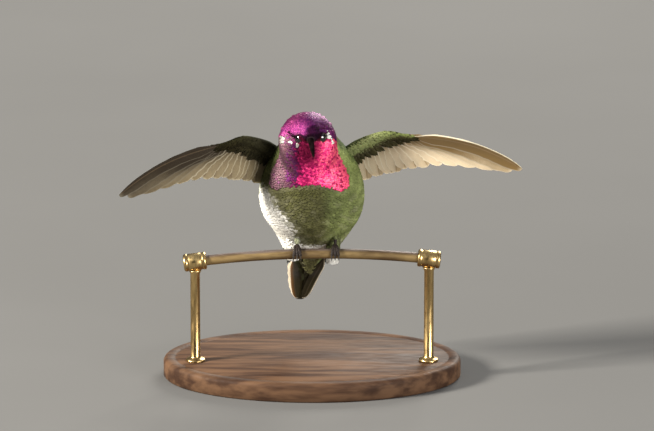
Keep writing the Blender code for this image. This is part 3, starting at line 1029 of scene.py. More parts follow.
def new_group(name: str, inputs: dict[str, Input | None],
              outputs: tuple[str, ...]) -> tuple[NodeTree, Nodes, NodeOutputs, Node]:
    """Start a shader node group.

    Args:
        name: the group's name.
        inputs: name and default of each input, with None for a vector.
        outputs: names of the outputs, which are numbers.

    Returns:
        The tree, its node tools, its inputs' sockets and the node that takes its outputs.
    """
    tree = bpy.data.node_groups.new(name, "ShaderNodeTree")
    for label, default in inputs.items():
        kind = "NodeSocketVector" if default is None else "NodeSocketFloat"
        socket = tree.interface.new_socket(label, in_out="INPUT", socket_type=kind)
        if default is not None:
            socket.default_value = default
    for label in outputs:
        tree.interface.new_socket(label, in_out="OUTPUT", socket_type="NodeSocketFloat")
    tools = Nodes(tree)
    return tree, tools, tools.add("NodeGroupInput").outputs, tools.add("NodeGroupOutput")


class SharedEffects:
    """Node groups that several finishes use, each built once."""

    def __init__(self) -> None:
        """Build the groups."""
        self.barbs = self._barbs()
        self.mottle = self._mottle()

    @staticmethod
    def _barbs() -> NodeTree:
        """Ribbing of a vane's barbs on both sides of its shaft.

        Returns:
            A group with Stripes, Shaft and Fringe masks from the barb values.
        """
        tree, n, given, out = new_group(
            "feather barbs", {"Barb": None, "Count": 30.0, "Slant": 0.35, "Shaft Width": 0.08},
            ("Stripes", "Shaft", "Fringe"))
        across, along, chance = n.parts(given["Barb"])
        reach = n.math("ABSOLUTE", across)
        slanted = n.math("SUBTRACT", along, n.times(reach, given["Slant"]))
        phase = n.times(n.plus(slanted, chance), given["Count"])
        wave = n.math("SINE", n.times(phase, 2 * math.pi))
        n.wire(out, Stripes=n.span(wave, -1.0, 1.0),
               Shaft=n.span(n.math("DIVIDE", reach, given["Shaft Width"]), 1.4, 0.6),
               Fringe=n.math("MAXIMUM", n.span(reach, 0.62, 0.98), n.span(along, 0.74, 1.0)))
        return tree

    @staticmethod
    def _mottle() -> NodeTree:
        """Soft uneven patches of two sizes.

        Returns:
            A group with a Value around 0.5 from a position.
        """
        tree, n, given, out = new_group("soft mottle", {"Place": None, "Amount": 1.0}, ("Value",))
        coarse = n.noise(260.0, 2.0, given["Place"])
        fine = n.noise(1400.0, 3.0, given["Place"])
        both = n.plus(n.times(coarse, 0.6), n.times(fine, 0.4))
        centred = n.times(n.math("SUBTRACT", both, 0.5), given["Amount"])
        n.wire(out, Value=n.plus(centred, 0.5))
        return tree

    @staticmethod
    def place(n: Nodes, tree: NodeTree, **values: Input) -> NodeOutputs:
        """Put a group in a material with its own values, by name with _ for a space."""
        return n.wire(n.add("ShaderNodeGroup", node_tree=tree), **values).outputs


EFFECTS = SharedEffects()


def new_material(name: str) -> tuple[Material, Nodes, Node, Node]:
    """Start a material with its Principled shader.

    Args:
        name: the finish's name.

    Returns:
        The material, its node tools, its Principled shader and its output node.
    """
    made = bpy.data.materials.new(name)
    made.use_nodes = True
    nodes = made.node_tree.nodes
    return made, Nodes(made.node_tree), nodes["Principled BSDF"], nodes["Material Output"]


# ---------- finishes
@dataclass(frozen=True)
class PlumageFinish:
    """Green-grey plumage with its rose, white, pale and dusky marks; the dusky marks are partly painted
    shade.
    """

    grey: Stops = (
        (0.0, (0.026, 0.020, 0.008)), (0.5, (0.072, 0.060, 0.019)), (1.0, (0.20, 0.18, 0.072)))
    green: Stops = (
        (0.0, (0.062, 0.078, 0.022)), (0.5, (0.195, 0.235, 0.072)), (1.0, (0.42, 0.49, 0.18)))
    bronze: Stops = (
        (0.0, (0.020, 0.034, 0.012)), (0.5, (0.060, 0.092, 0.026)), (1.0, (0.16, 0.20, 0.055)))
    sheen: Stops = (
        (0.00, (0.078, 0.010, 0.046)), (0.14, (0.100, 0.016, 0.100)), (0.28, (0.135, 0.016, 0.092)),
        (0.46, (0.170, 0.022, 0.090)), (0.50, (0.150, 0.082, 0.100)), (0.57, (0.135, 0.050, 0.080)),
        (0.63, (0.115, 0.018, 0.100)), (0.69, (0.13, 0.012, 0.060)), (0.77, (0.42, 0.014, 0.115)),
        (0.87, (0.82, 0.034, 0.20)), (1.0, (0.86, 0.095, 0.19)))
    white: Colour = (0.90, 0.88, 0.83)
    pale: Colour = (0.44, 0.42, 0.29)
    fringe: Colour = (0.36, 0.34, 0.23)
    # colour of the dark marks and of painted shade
    dusk: Colour = (0.055, 0.045, 0.042)
    flesh: Colour = (0.05, 0.04, 0.035)
    glint: Stops = ((0.20, (0.64, 0.62, 0.64)), (0.50, (0.93, 0.93, 0.93)), (0.78, (1.18, 1.6, 1.30)))
    ribbing: Stops = ((0.0, (0.84, 0.84, 0.84)), (1.0, (1.05, 1.05, 1.05)))

    def colour(self, n: Nodes, place: Socket,
               ribs: NodeOutputs | None = None) -> tuple[Socket, Socket, Socket]:
        """Mix the plumage's colours from the mesh's own marks and play.

        Args:
            n: the material's node tools.
            place: vector socket with the position.
            ribs: outputs of the barbs' group, or None on the skin.

        Returns:
            The colour's socket, and the sockets of the rose and green masks.
        """
        rose, white, pale = n.parts(n.carried("marks"))
        chance, dusk, hue = n.parts(n.carried("play"))
        patch = EFFECTS.place(n, EFFECTS.mottle, Place=place, Amount=1.6)["Value"]
        tone = n.math("SUBTRACT", n.plus(n.times(chance, 0.12), patch), 0.12, True)
        leaf = n.times(hue, n.math("SUBTRACT", 1.0, rose))
        base = n.mix(n.span(leaf, 0.0, 0.7), n.ramp(tone, self.grey), n.ramp(tone, self.green))
        base = n.mix(n.span(leaf, 0.7, 1.0), base, n.ramp(tone, self.bronze))
        base = n.mix(pale, base, self.pale)
        if ribs is not None:
            base = n.mix(n.times(ribs["Fringe"], 0.14), base, self.fringe)
        base = n.mix(white, base, self.white)
        glint = n.ramp(n.plus(n.times(patch, 0.60), n.times(chance, 0.40)), self.glint)
        base = n.mix(rose, base, n.mix(1.0, n.ramp(hue, self.sheen), glint, "MULTIPLY"))
        # darken by the dark marks and by painted shade
        base = n.mix(dusk, base, n.mix(1.0, base, self.dusk, "MULTIPLY"))
        if ribs is not None:
            base = n.mix(1.0, base, n.ramp(ribs["Stripes"], self.ribbing), "MULTIPLY")
        return base, rose, leaf

    def coat(self) -> Material:
        """Material of the feathers.

        Returns:
            A material that reads each feather's own values.
        """
        made, n, shader, _ = new_material("plumage vanes")
        ribs = EFFECTS.place(n, EFFECTS.barbs, Barb=n.carried("barb"), Count=9.0, Slant=0.5,
                             Shaft_Width=0.07)
        base, rose, leaf = self.colour(n, n.place(), ribs)
        metal = n.plus(n.times(rose, 0.70), n.times(leaf, 0.20))
        n.wire(shader, Base_Color=base, Metallic=metal, Roughness=n.span(metal, 0.0, 0.70, 0.82, 0.50),
               Specular_IOR_Level=0.08, Normal=n.bump(ribs["Stripes"], 0.3, 0.00002))
        return made

    def skin(self) -> Material:
        """Material of the skin under the feathers, with the same marks.

        Returns:
            A duller material that reads the skin's point values.
        """
        made, n, shader, _ = new_material("plumage skin")
        place = n.place()
        base = n.mix(0.22, self.colour(n, place)[0], self.flesh)
        n.wire(shader, Base_Color=base, Roughness=0.85, Specular_IOR_Level=0.05,
               Normal=n.bump(n.noise(2600.0, 3.0, place), 0.4, 0.0001))
        return made


@dataclass(frozen=True)
class QuillFinish:
    """Thin translucent vane of a flight or tail feather, paler below than above."""

    name: str
    above: Colour
    below: Colour
    streak_and_shade: Colour
    edge: Colour
    shaft: Colour
    glow: Colour
    translucency: float
    edge_width: float = 0.10
    contrast: float = 0.62
    rust: float = 0.0
    rust_colour: Colour = (0.17, 0.075, 0.02)
    specular: float = 0.4

    def material(self) -> Material:
        """Material with barbs, shaft, pale edge and light through the vane.

        Returns:
            A mix of a Principled and a Translucent shader.
        """
        made, n, shader, output = new_material(self.name)
        barb = n.carried("barb")
        across, along, _ = n.parts(barb)
        under, rim, lit_lead_rim = n.parts(n.carried("web"))
        tone = n.carried("tone", "Fac")
        ribs = EFFECTS.place(n, EFFECTS.barbs, Barb=barb, Count=70.0, Slant=0.12, Shaft_Width=0.08)
        patch = EFFECTS.place(n, EFFECTS.mottle, Place=n.place(), Amount=1.6)["Value"]
        base = n.mix(n.span(under, 0.50, 0.53), self.above, self.below)
        grain = n.plus(n.times(ribs["Stripes"], 0.35), n.times(patch, 0.65))
        # painted shade: each vane darkens towards its leading side, by the next quill, and towards its
        # root under the coverts; grain and the quill's tone add to it
        shade = n.math("MAXIMUM", n.times(n.span(across, 0.72, -0.45), self.contrast),
                       n.times(n.span(along, 0.80, 0.10), 0.74))
        shade = n.plus(shade, n.times(n.span(grain, 0.65, 0.30), 0.22))
        shade = n.plus(shade, tone, True)
        base = n.mix(shade, base, n.mix(1.0, base, self.streak_and_shade, "MULTIPLY"))
        # the lead rim is a painted highlight along the leading edge; rust lies just inside it
        start = n.math("SUBTRACT", n.times(lit_lead_rim, 0.9), 1.0)
        inward = n.math("SUBTRACT", start, across)
        marked = n.span(lit_lead_rim, 0.0, 0.15)
        rust = n.times(n.span(inward, -0.75, -0.05, 0.0, self.rust), marked)
        base = n.mix(rust, base, self.rust_colour)
        side = n.span(n.math("ABSOLUTE", across), 1.0 - 1.6 * self.edge_width, 1.0)
        pale = n.times(n.math("MAXIMUM", side, n.span(along, 0.95, 1.0)), rim)
        pale = n.math("MAXIMUM", pale, n.times(n.span(inward, -0.05, 0.12), marked))
        base = n.mix(pale, base, self.edge)
        base = n.mix(n.times(ribs["Shaft"], 0.8), base, self.shaft)
        n.wire(shader, Base_Color=base, Roughness=0.55, Specular_IOR_Level=self.specular,
               Sheen_Weight=0.1, Normal=n.bump(ribs["Stripes"], 0.3, 0.00003))
        through = n.wire(n.add("ShaderNodeBsdfTranslucent"),
                         Color=n.mix(tone, n.mix(0.5, base, self.glow), base))
        blend = n.fill(n.add("ShaderNodeMixShader"), self.translucency, shader.outputs[0],
                       through.outputs[0])
        n.wire(output, Surface=blend)
        return made


@dataclass(frozen=True)
class HardFinish:
    """Horn, skin, wire, wood or metal: two colours mixed by noise, with bump."""

    name: str
    light: Colour
    dark: Colour
    roughness: float
    metallic: float = 0.0
    scale: float = 900.0
    stretch: Triple = (1.0, 1.0, 1.0)
    bump_depth: float = 0.00005
    specular: float = 0.5

    def material(self) -> Material:
        """Material with uneven colour, roughness and bump.

        Returns:
            A Principled material.
        """
        made, n, shader, _ = new_material(self.name)
        place = n.place(self.stretch)
        coarse = n.noise(self.scale, 4.0, place)
        fine = n.noise(self.scale * 6.0, 3.0, place)
        n.wire(shader, Base_Color=n.mix(n.span(coarse, 0.35, 0.65), self.dark, self.light),
               Roughness=n.span(fine, 0.3, 0.7, self.roughness - 0.08, self.roughness + 0.1),
               Metallic=self.metallic, Specular_IOR_Level=self.specular,
               Normal=n.bump(n.plus(coarse, n.times(fine, 0.4)), 0.5, self.bump_depth))
        return made


@dataclass(frozen=True)
class EyeFinish:
    """Dark brown iris round a black pupil under a wet cornea."""

    iris: Colour = (0.035, 0.018, 0.010)
    fibre: Colour = (0.09, 0.045, 0.022)
    pupil: Colour = (0.002, 0.002, 0.002)
    pupil_size: float = 0.62

    def material(self) -> Material:
        """Material that reads each point's angle from the eye's axis.

        Returns:
            A glossy Principled material.
        """
        made, n, shader, _ = new_material("eye")
        iris = n.mix(n.span(n.noise(5200.0, 3.0, n.place()), 0.35, 0.7), self.iris, self.fibre)
        edge = n.span(n.carried("gaze", "Fac"), self.pupil_size - 0.08, self.pupil_size + 0.05)
        n.wire(shader, Base_Color=n.mix(edge, self.pupil, iris), Roughness=0.06,
               Specular_IOR_Level=0.7, Coat_Weight=1.0, Coat_Roughness=0.03)
        return made


# ---------- sub-assemblies
def add_piece(name: str, data: MeshData, finish: Material, slot: str, *nodes: str,
              creased: bool = False) -> Object:
    """Mesh and dress a piece, ride it on the one body and hide the CAD nodes that it stands for.

    Args:
        name: the piece's name.
        data: its mesh in millimetres.
        finish: its material.
        slot: its slot; not used.
        nodes: the CAD nodes that it stands for.
        creased: whether thin rims stay sharp.

    Returns:
        The finished piece.
    """
    made = make_mesh(name, data, creased)
    made.data.materials.append(finish)
    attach(made, "root")
    if nodes:
        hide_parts(*nodes)
    log.info("%-26s %7d triangles", name, sum(len(p.vertices) - 2 for p in made.data.polygons))
    return made


PLANS = {Side.LEFT: WingPlan(Side.LEFT, 10.5, -2.6), Side.RIGHT: WingPlan(Side.RIGHT, 30.0, 1.0)}
BODY = BodySurface()
MARKINGS = Markings()


@dataclass
class Eye:
    """Eyeball, its lids and the place both sit in."""

    side: Side
    radius: float = 2.1
    opening: float = 0.86
    spread: float = 3.15
    y: float = -13.5
    z: float = 41.1
    roll: float = 0.35
    head_x: float = -0.75
    tilt: float = 0.38
    squint: float = 1.4

    @property
    def centre(self) -> Array:
        """Middle of the eyeball."""
        sign = self.side.value
        return np.array([self.head_x + sign * self.spread, self.y, self.z - sign * self.roll])

    @property
    def gaze(self) -> Array:
        """Direction that the eye looks in: outward and forward."""
        return unit(np.array([self.side.value * 0.68, -0.73, 0.06]))

    @property
    def slant(self) -> tuple[Array, Array]:
        """Long and short axes of the almond opening; its outer corner is the higher one.

        Returns:
            Two unit vectors across the gaze.
        """
        side = unit(np.cross(self.gaze, (0.0, 0.0, 1.0)))
        out, up = -self.side.value * side, np.cross(side, self.gaze)
        return (out * math.cos(self.tilt) + up * math.sin(self.tilt),
                up * math.cos(self.tilt) - out * math.sin(self.tilt))

    def rounded(self, vectors: Array) -> Array:
        """Stretch vectors so that the almond opening becomes round."""
        short = self.slant[1]
        return vectors + (self.squint - 1) * (vectors @ short)[:, None] * short

    @property
    def window(self) -> Array:
        """Middle of the opening between the lids."""
        return self.centre + self.gaze * self.radius * math.cos(self.opening)

    def ball(self) -> Object:
        """Eyeball with a slightly raised cornea.

        Returns:
            The finished piece.
        """
        angles = np.linspace(0.02, math.pi - 0.02, 44)
        bulge = 1 + 0.03 * np.exp(-(angles / 0.5) ** 2)
        profile = np.column_stack([np.cos(angles), np.sin(angles)]) * self.radius * bulge[:, None]
        sides = 48
        data = turn_profile(profile, self.centre, self.gaze, sides)
        data.values["gaze"] = np.repeat(angles, sides)
        return add_piece("eyeball_" + self.side.word, data, EyeFinish().material(), "eye",
                         "eye_" + self.side.word)

    def lids(self, finish: Material) -> Object:
        """Upper and lower lid as one shell over the eyeball, with a dark rim at the opening.

        Args:
            finish: material of short plumage, which reads the marks.

        Returns:
            The finished piece.
        """
        wide, short = self.slant
        t = np.linspace(0, 2 * math.pi, 64, endpoint=False)
        way = np.cos(t)[:, None] * wide + np.sin(t)[:, None] * short / self.squint
        inner = self.opening * 0.95 * np.linalg.norm(way, axis=1)
        way = unit(way)
        share = np.array([0.0, 0.06, 0.16, 0.4, 0.7, 1.0, 1.0, 0.5, 0.1, 0.0])
        raised = np.array([0.10, 0.16, 0.12, 0.09, 0.07, 0.03, -0.05, -0.05, -0.05, -0.02])
        reach = inner[:, None] + (np.maximum(1.15, inner + 0.25) - inner)[:, None] * share
        points = (self.gaze * np.cos(reach)[..., None] + way[:, None] * np.sin(reach)[..., None])
        points = (self.centre + points * (self.radius + raised[:, None])).reshape(-1, 3)
        count, sides = reach.shape
        faces = [(i * sides + a, i * sides + b, k * sides + b, k * sides + a)
                 for i, k in ring_pairs(count) for a, b in ring_pairs(sides)]
        u, v = Skin.nearest(points)
        marks, tint = MARKINGS.masks(Ground(np.maximum(u, 0.6), v, points))
        rim = np.tile(ease(0.22, 0.10, share), count)
        marks[:, 1] = 0.0
        tint[:, 0] = np.maximum(np.maximum(tint[:, 0], 0.35), 0.97 * rim)
        play = np.column_stack([np.full(len(u), SKIN_PLAY), tint])
        data = MeshData(points, faces, {"marks": marks, "play": play})
        return add_piece("lids_" + self.side.word, data, finish, "crown_gorget")


EYES = {Side.LEFT: Eye(Side.LEFT, squint=1.45, tilt=0.50, opening=0.92),
        Side.RIGHT: Eye(Side.RIGHT, squint=2.1, opening=0.92, spread=2.32, y=-14.0, z=40.45, roll=0.0)}
FOOT_X = {Side.LEFT: 7.1, Side.RIGHT: -4.6}
TOE_SPREADS = (-0.86, 0.0, 0.86)
HIND_TOE = 0.06


@dataclass
class Skin:
    """One skin under the whole coat: body, arms, thighs, shanks and toes."""

    inset: float = 0.75
    voxel: float = 0.42
    toe_radius: float = 0.55

    def body(self) -> MeshData:
        """Body from the bill's base to under the tail coverts, inside the coat.

        Returns:
            The closed body.
        """
        s = np.linspace(0.12, 15.6, 90)
        angles = np.linspace(0, 2 * math.pi, 72, endpoint=False)
        u, v = np.meshgrid(s, angles, indexing="ij")
        inset = self.inset * (0.35 + 0.65 * ease(0.3, 3.0, u))
        return loft(BODY.point(u, v, -inset))

    def arm(self, side: Side) -> MeshData:
        """Arm and hand flesh of one wing.

        Args:
            side: the wing's side.

        Returns:
            A closed flattened tube.
        """
        plan = PLANS[side]
        rings = []
        for p in np.linspace(-4.0, ARM_REACH - 0.5, 30):
            f = float(np.clip(p / ARM_REACH, 0, 1))
            front = float(read_edge(LEADING_EDGE, np.array(p)))
            reach = 0.5 * (6.0 - 3.0 * f)
            angles = np.linspace(0, 2 * math.pi, 28, endpoint=False)
            q = front + reach + (reach - 0.35) * np.cos(angles)
            rings.append(plan.place(np.full(len(angles), p), q, (1.75 - 1.2 * f) * np.sin(angles)))
        return loft(np.array(rings))

    def shank(self, side: Side) -> MeshData:
        """Thigh and shank down to the palm.

        Args:
            side: the leg's side.

        Returns:
            A closed tapered tube.
        """
        x = FOOT_X[side]
        z = wire_z(x)
        line = np.array([(x * 0.9, 5.0, 12.0), (x, 3.0, 8.0), (x, 1.9, 5.6), (x, 1.3, z + 4.0),
                         (x, 0.9, z + 3.0), (x, 0.6, z + 2.4)])
        fine = spline_rows(line, np.linspace(0, 5, 22))
        radii = np.interp(np.linspace(0, 5, 22), range(6), (2.4, 1.7, 1.1, 0.55, 0.46, 0.5))
        return sweep(fine, radii, 18)

    def toe(self, x: float, spread: float, start: float, stop: float) -> MeshData:
        """Scaled toe without its claw, curled about the wire.

        Args:
            x: the foot's middle.
            spread: the toe's place beside it.
            start: first angle over the front, in degrees.
            stop: last angle.

        Returns:
            A closed tube with a ridge for each scale.
        """
        f = np.linspace(0, 1, 44)
        angle = np.radians(start + (stop - start) * f)
        pads = 1 + 0.07 * np.cos(f * 2 * math.pi * 9) + 0.05 * np.cos(f * 2 * math.pi * 3)
        radii = self.toe_radius * (1.05 - 0.22 * f) * pads
        radii[-1] *= 0.5
        return sweep(self.curl(x, spread * (0.30 + 0.95 * f), angle), radii, 16)

    def curl(self, x: float, aside: Array, angle: Array, lift: Array | float = 0.0) -> Array:
        """Line round the wire at a toe's distance.

        Args:
            x: the foot's middle.
            aside: how far each point lies beside it.
            angle: angle of each point from the wire's top towards the bird's front.
            lift: extra distance from the wire.

        Returns:
            The points.
        """
        reach = WIRE_RADIUS + WIRE_GAP + self.toe_radius + lift
        return np.column_stack([x + aside, -reach * np.sin(angle), wire_z(x) + reach * np.cos(angle)])

    def feet(self) -> MeshData:
        """Every shank, palm and toe.

        Returns:
            The feet as one mesh.
        """
        parts = []
        for side in Side:
            x = FOOT_X[side]
            parts.append(self.shank(side))
            palm = np.column_stack([x + np.array([-0.8, -0.5, 0.0, 0.5, 0.8]),
                                    (0.2, 0.3, 0.35, 0.3, 0.2), np.full(5, wire_z(x) + 2.3)])
            parts.append(sweep(palm, np.array([0.25, 0.55, 0.72, 0.55, 0.25]), 16, 1.0))
            parts += [self.toe(x, spread, -14.0, 92.0) for spread in TOE_SPREADS]
            parts.append(self.toe(x, HIND_TOE, -4.0, -96.0))
        return MeshData.join(parts)

    def build(self, finish: Material, toes: Material) -> Object:
        """Blend the flesh into one mesh, then add the feet.

        Args:
            finish: material of the feathered skin.
            toes: material of the scaled skin.

        Returns:
            The finished skin.
        """
        flesh = MeshData.join([self.body()] + [self.arm(side) for side in Side])
        rough = make_mesh("rough_skin", flesh)
        step = rough.modifiers.new("blend", "REMESH")
        step.mode = "VOXEL"
        step.voxel_size = self.voxel * MM
        relax = rough.modifiers.new("relax", "SMOOTH")
        relax.iterations = 6
        graph = bpy.context.evaluated_depsgraph_get()
        mesh = bpy.data.meshes.new_from_object(rough.evaluated_get(graph))
        bpy.data.objects.remove(rough, do_unlink=True)
        points = np.empty(len(mesh.vertices) * 3)
        mesh.vertices.foreach_get("co", points)
        points = points.reshape(-1, 3) / MM - (0.0, WIRE_Y, WIRE_HEIGHT)
        faces = [tuple(p.vertices) for p in mesh.polygons]
        bpy.data.meshes.remove(mesh)
        feet = self.feet()
        fleshy = len(faces)
        both = MeshData.join([MeshData(points, faces), MeshData(feet.points, feet.faces)])
        u, v = self.nearest(both.points)
        marks, tint = MARKINGS.masks(Ground(u, v, both.points))
        outside = np.linalg.norm(both.points - BODY.point(u, v, np.zeros(len(u))), axis=-1) > 1.6
        limb = outside | (np.abs(both.points[:, 0]) > 12.5)
        marks[limb], tint[limb] = (0.0, 0.0, 0.10), (0.0, 0.68)
        # painted shade on the limbs of the -x side, by the shaded wing
        tint[limb & (both.points[:, 0] < 0)] = (0.85, 0.6)
        both.values = {"marks": marks, "play": np.column_stack([np.full(len(u), SKIN_PLAY), tint])}
        nodes = ["head", "neck", "trunk", "tail"]
        for side in Side:
            nodes += ["wing_arm_" + side.word, "leg_" + side.word, "foot_" + side.word]
        made = add_piece("skin", both, finish, "body_plumage", *nodes)
        made.data.materials.append(toes)
        slots = np.zeros(len(made.data.polygons), dtype=np.int32)
        slots[fleshy:] = 1
        made.data.polygons.foreach_set("material_index", slots)
        return made

    @staticmethod
    def nearest(points: Array) -> tuple[Array, Array]:
        """Section number and angle of the place on the body nearest each point.

        Args:
            points: places in millimetres.

        Returns:
            Section numbers and angles between -pi and pi.
        """
        s = np.linspace(0.0, 17.5, 240)
        x, y, z, half_y, half_z, _ = body_rows(s)
        middle = np.column_stack([x, y, z])
        along = unit(np.column_stack([np.zeros(len(s)), half_y, half_z]))
        across = np.cross(along, (1.0, 0.0, 0.0))
        u = np.empty(len(points))
        v = np.empty(len(points))
        batch = 4000
        for start in range(0, len(points), batch):
            chunk = points[start:start + batch]
            apart = chunk[:, None] - middle[None]
            off = np.abs(np.einsum("ijk,jk->ij", apart, across)) + 0.12 * np.linalg.norm(apart, axis=-1)
            best = off.argmin(1)
            near = apart[np.arange(len(chunk)), best]
            rise = np.einsum("ij,ij->i", near, along[best])
            u[start:start + batch] = s[best]
            v[start:start + batch] = np.arctan2(near[:, 0], rise)
        return u, v


@dataclass
class Coat:
    """Small feathers over the head and body."""

    finish: Material
    face_length: float = 0.62
    head_length: float = 1.60
    body_length: float = 2.35
    packing: float = 0.345

    def length(self, u: Array, v: Array) -> Array:
        """Feather length at a place, cut short where the lids are ahead.

        Args:
            u: section numbers.
            v: angles from the back.

        Returns:
            Millimetres, 0 where a feather would start on an eye.
        """
        angle = np.degrees(np.abs(v))
        grow = self.face_length + (self.head_length - self.face_length) * ease(0.2, 3.0, u)
        edge = np.interp(angle, (0, 80, 120, 180), (4.6, 5.0, 7.2, 5.6))
        size = grow + (self.body_length - grow) * ease(edge - 0.2, edge + 1.8, u)
        size = size * (1 - 0.22 * ease(11.4, 12.6, u))
        zero = np.zeros_like(u)
        here = BODY.point(u, v, zero)
        ahead = unit(BODY.point(u + 0.02, v, zero) - here)
        for eye in EYES.values():
            off, way = eye.rounded(here - eye.window), eye.rounded(ahead)
            a = np.einsum("ij,ij->i", way, way)
            b = np.einsum("ij,ij->i", off, way)
            c = np.einsum("ij,ij->i", off, off) - (eye.radius * math.sin(eye.opening) + 0.05) ** 2
            meets = (b < 0) & (b * b > a * c)
            reach = (-b - np.sqrt(np.maximum(b * b - a * c, 0))) / a + 0.12
            size = np.where(c < 0, 0.0, np.where(meets, np.minimum(size, reach), size))
        return size

    def spacing(self, u: Array, v: Array) -> Array:
        """Least distance between roots; none where a feather would cover an eye.

        Args:
            u: section numbers.
            v: angles from the back.

        Returns:
            Millimetres, 0 for no feather.
        """
        size = self.length(u, v)
        gap = np.where(size < 0.34, 0.0, self.packing * np.clip(size, 0.66, None))
        x = BODY.point(u, v, np.zeros_like(u))[:, 0]
        low = (np.cos(v) < 0.15) & (u > 12.45)
        return np.where((low & beside_coverts(u, x)) | (u > np.where(low, 14.1, 13.7)), 0.0, gap)

    def bed(self, u: Array, v: Array, seed: int) -> FeatherBed:
        """Size, lift and mark the feathers at some roots.

        Args:
            u: section numbers.
            v: angles.
            seed: for the random numbers.

        Returns:
            The feathers.
        """
        rng = np.random.default_rng(seed)
        count = len(u)
        length = self.length(u, v)
        around = wrap(v)
        seen = np.clip(u + 0.6 * length / BODY.stretch(u, v)[0], 0, 18)
        chance = rng.uniform(0, 1, count)
        points = BODY.point(seen, v, np.zeros(count))
        marks, tint = MARKINGS.masks(Ground(seen, around, points, chance))
        rose = marks[:, 0]
        width = np.maximum(length, 0.5) * 0.92 * rng.normal(1.0, 0.06, count)
        fine = marks[:, 1] * ease(4.0, 3.0, u)
        width, length = width * (1 - 0.48 * fine), length * (1 - 0.22 * fine)
        deep = 0.14 + 0.26 * ease(0.5, 3.5, u)
        lift = (0.03 + 0.03 * ease(6.0, 8.0, u) + (0.018 - 0.010 * rose) * rng.standard_normal(count))
        angle = np.degrees(np.abs(around))
        corner = np.exp(-((angle - 120) / 10.0) ** 2 - ((u - 6.5) / 0.7) ** 2) * rose
        brow = sum(blob(points, tuple(eye.window + (0.0, 0.2, 0.6)), (2.1, 1.8, 2.0))
                   for eye in EYES.values())
        length = length * (1 + 0.30 * corner) * rng.normal(1.0, 0.06, count)
        hem = ease(11.2, 11.5, u) * ease(12.3, 12.0, u) * ease(112, 135, angle)
        crest = (chance > 0.93) * (u > 2.4) * (u < 5.0) * (angle < 90)
        lift = lift + 0.45 * corner + 0.08 * marks[:, 1] + 0.14 * brow + 0.42 * hem + 0.22 * crest
        turn = rng.normal(0.0, 0.08, count) * (1 - 0.4 * rose)
        play = np.column_stack([chance, tint])
        return FeatherBed(BODY, u, v, length, width, turn, -deep, lift, marks, play)

    def build(self) -> list[Object]:
        """Scatter and mesh the feathers, in a few pieces by region.

        Returns:
            The finished pieces.
        """
        u, v = scatter(BODY, (0.10, 14.8), (-math.pi, math.pi), self.spacing, 240000, SEED)
        around = wrap(v)
        angle = np.degrees(np.abs(around))
        rose = MARKINGS.rose(u, around) > 0.5
        back = angle < 90
        regions = {
            "crown_feathers": rose & back,
            "gorget_feathers": rose & ~back & (u >= 3.2),
            "throat_feathers": rose & ~back & (u < 3.2),
            "mantle_feathers": ~rose & back & (u < 8.3),
            "back_feathers": ~rose & back & (u >= 8.3) & (u < 11),
            "rump_feathers": ~rose & back & (u >= 11),
            "breast_feathers": ~rose & ~back & (u < 8.6),
            "belly_feathers": ~rose & ~back & (u >= 8.6) & (u < 11),
            "vent_feathers": ~rose & ~back & (u >= 11),
        }
        made = []
        for k, (name, mask) in enumerate(regions.items()):
            slot = "crown_gorget" if k < 3 else "body_plumage"
            bed = self.bed(u[mask], around[mask], SEED + k)
            made.append(add_piece(name, bed.mesh(), self.finish, slot))
        return made


@dataclass(frozen=True)
class Thigh:
    """One leg's tuft and cuff; white is how white the feathers above the wire are."""

    side: Side
    x: float
    radius: float
    hem: float
    white: float
    reach: float


@dataclass
class ThighTufts:
    """Downy feathers about each thigh: a tuft behind the wire and a cuff in front of it."""

    finish: Material
    plans: tuple[Thigh, ...] = (Thigh(Side.LEFT, 6.2, 2.2, 4.7, 0.0, 11.0),
                                Thigh(Side.RIGHT, -5.8, 2.1, 3.3, 0.92, 10.0))
    gap: float = 0.30

    def bed(self, line: Array, radii: Array, sizes: Pair, white: float,
            seed: int) -> FeatherBed:
        """Feathers on one tube.

        Args:
            line: the tube's middle.
            radii: its radii.
            sizes: shortest and longest feather.
            white: how white the feathers above the wire are.
            seed: for the random numbers.

        Returns:
            The feathers.
        """
        tube = TubeSurface(line, radii)
        u, v = scatter(tube, (0.05, 0.90), (0, 2 * math.pi), lambda u, v: np.full(len(u), self.gap),
                       12000, seed)
        rng = np.random.default_rng(seed)
        count = len(u)
        z = tube.point(u, v, np.zeros(count))[:, 2]
        snow = white + (0.97 - white) * ease(0.6, -1.0, z)
        marks = np.column_stack([np.zeros(count), snow, np.full(count, 0.15 + 0.6 * white)])
        play = np.column_stack([rng.uniform(0, 1, count), 0.25 * (1 - snow), np.full(count, 0.6)])
        return FeatherBed(tube, u, v, rng.uniform(*sizes, count), rng.uniform(0.45, 0.75, count),
                          rng.normal(0, 0.12, count), np.full(count, -0.30),
                          rng.uniform(0.0, 0.09, count), marks, play, Vane(5, 4, 0.12, 0.10))

    def build(self) -> list[Object]:
        """Make both tufts.

        Returns:
            The finished pieces.
        """
        made = []
        for plan in self.plans:
            sign, word = plan.side.value, plan.side.word
            f = np.linspace(0, 1, 8)
            line = np.column_stack([plan.x + sign * 0.6 * (1 - f), 5.2 - 0.4 * f, 7.0 - plan.reach * f])
            radii = plan.radius * np.sin(math.pi * (0.42 + 0.26 * f))
            down = self.bed(line, radii, (1.3, 2.1), plan.white, SEED + sign)
            line = np.column_stack([FOOT_X[plan.side] * (0.93 + 0.07 * f), 3.6 - 2.6 * f,
                                    9.5 + (plan.hem - 9.5) * f])
            cuff = self.bed(line, 1.5 - 0.75 * f, (1.1, 1.7), 0.2 * plan.white, SEED + 5 + sign)
            made.append(add_piece("thigh_down_" + word, MeshData.join([down.mesh(), cuff.mesh()]),
                                  self.finish, "white_tuft", "thigh_tuft_" + word))
        return made


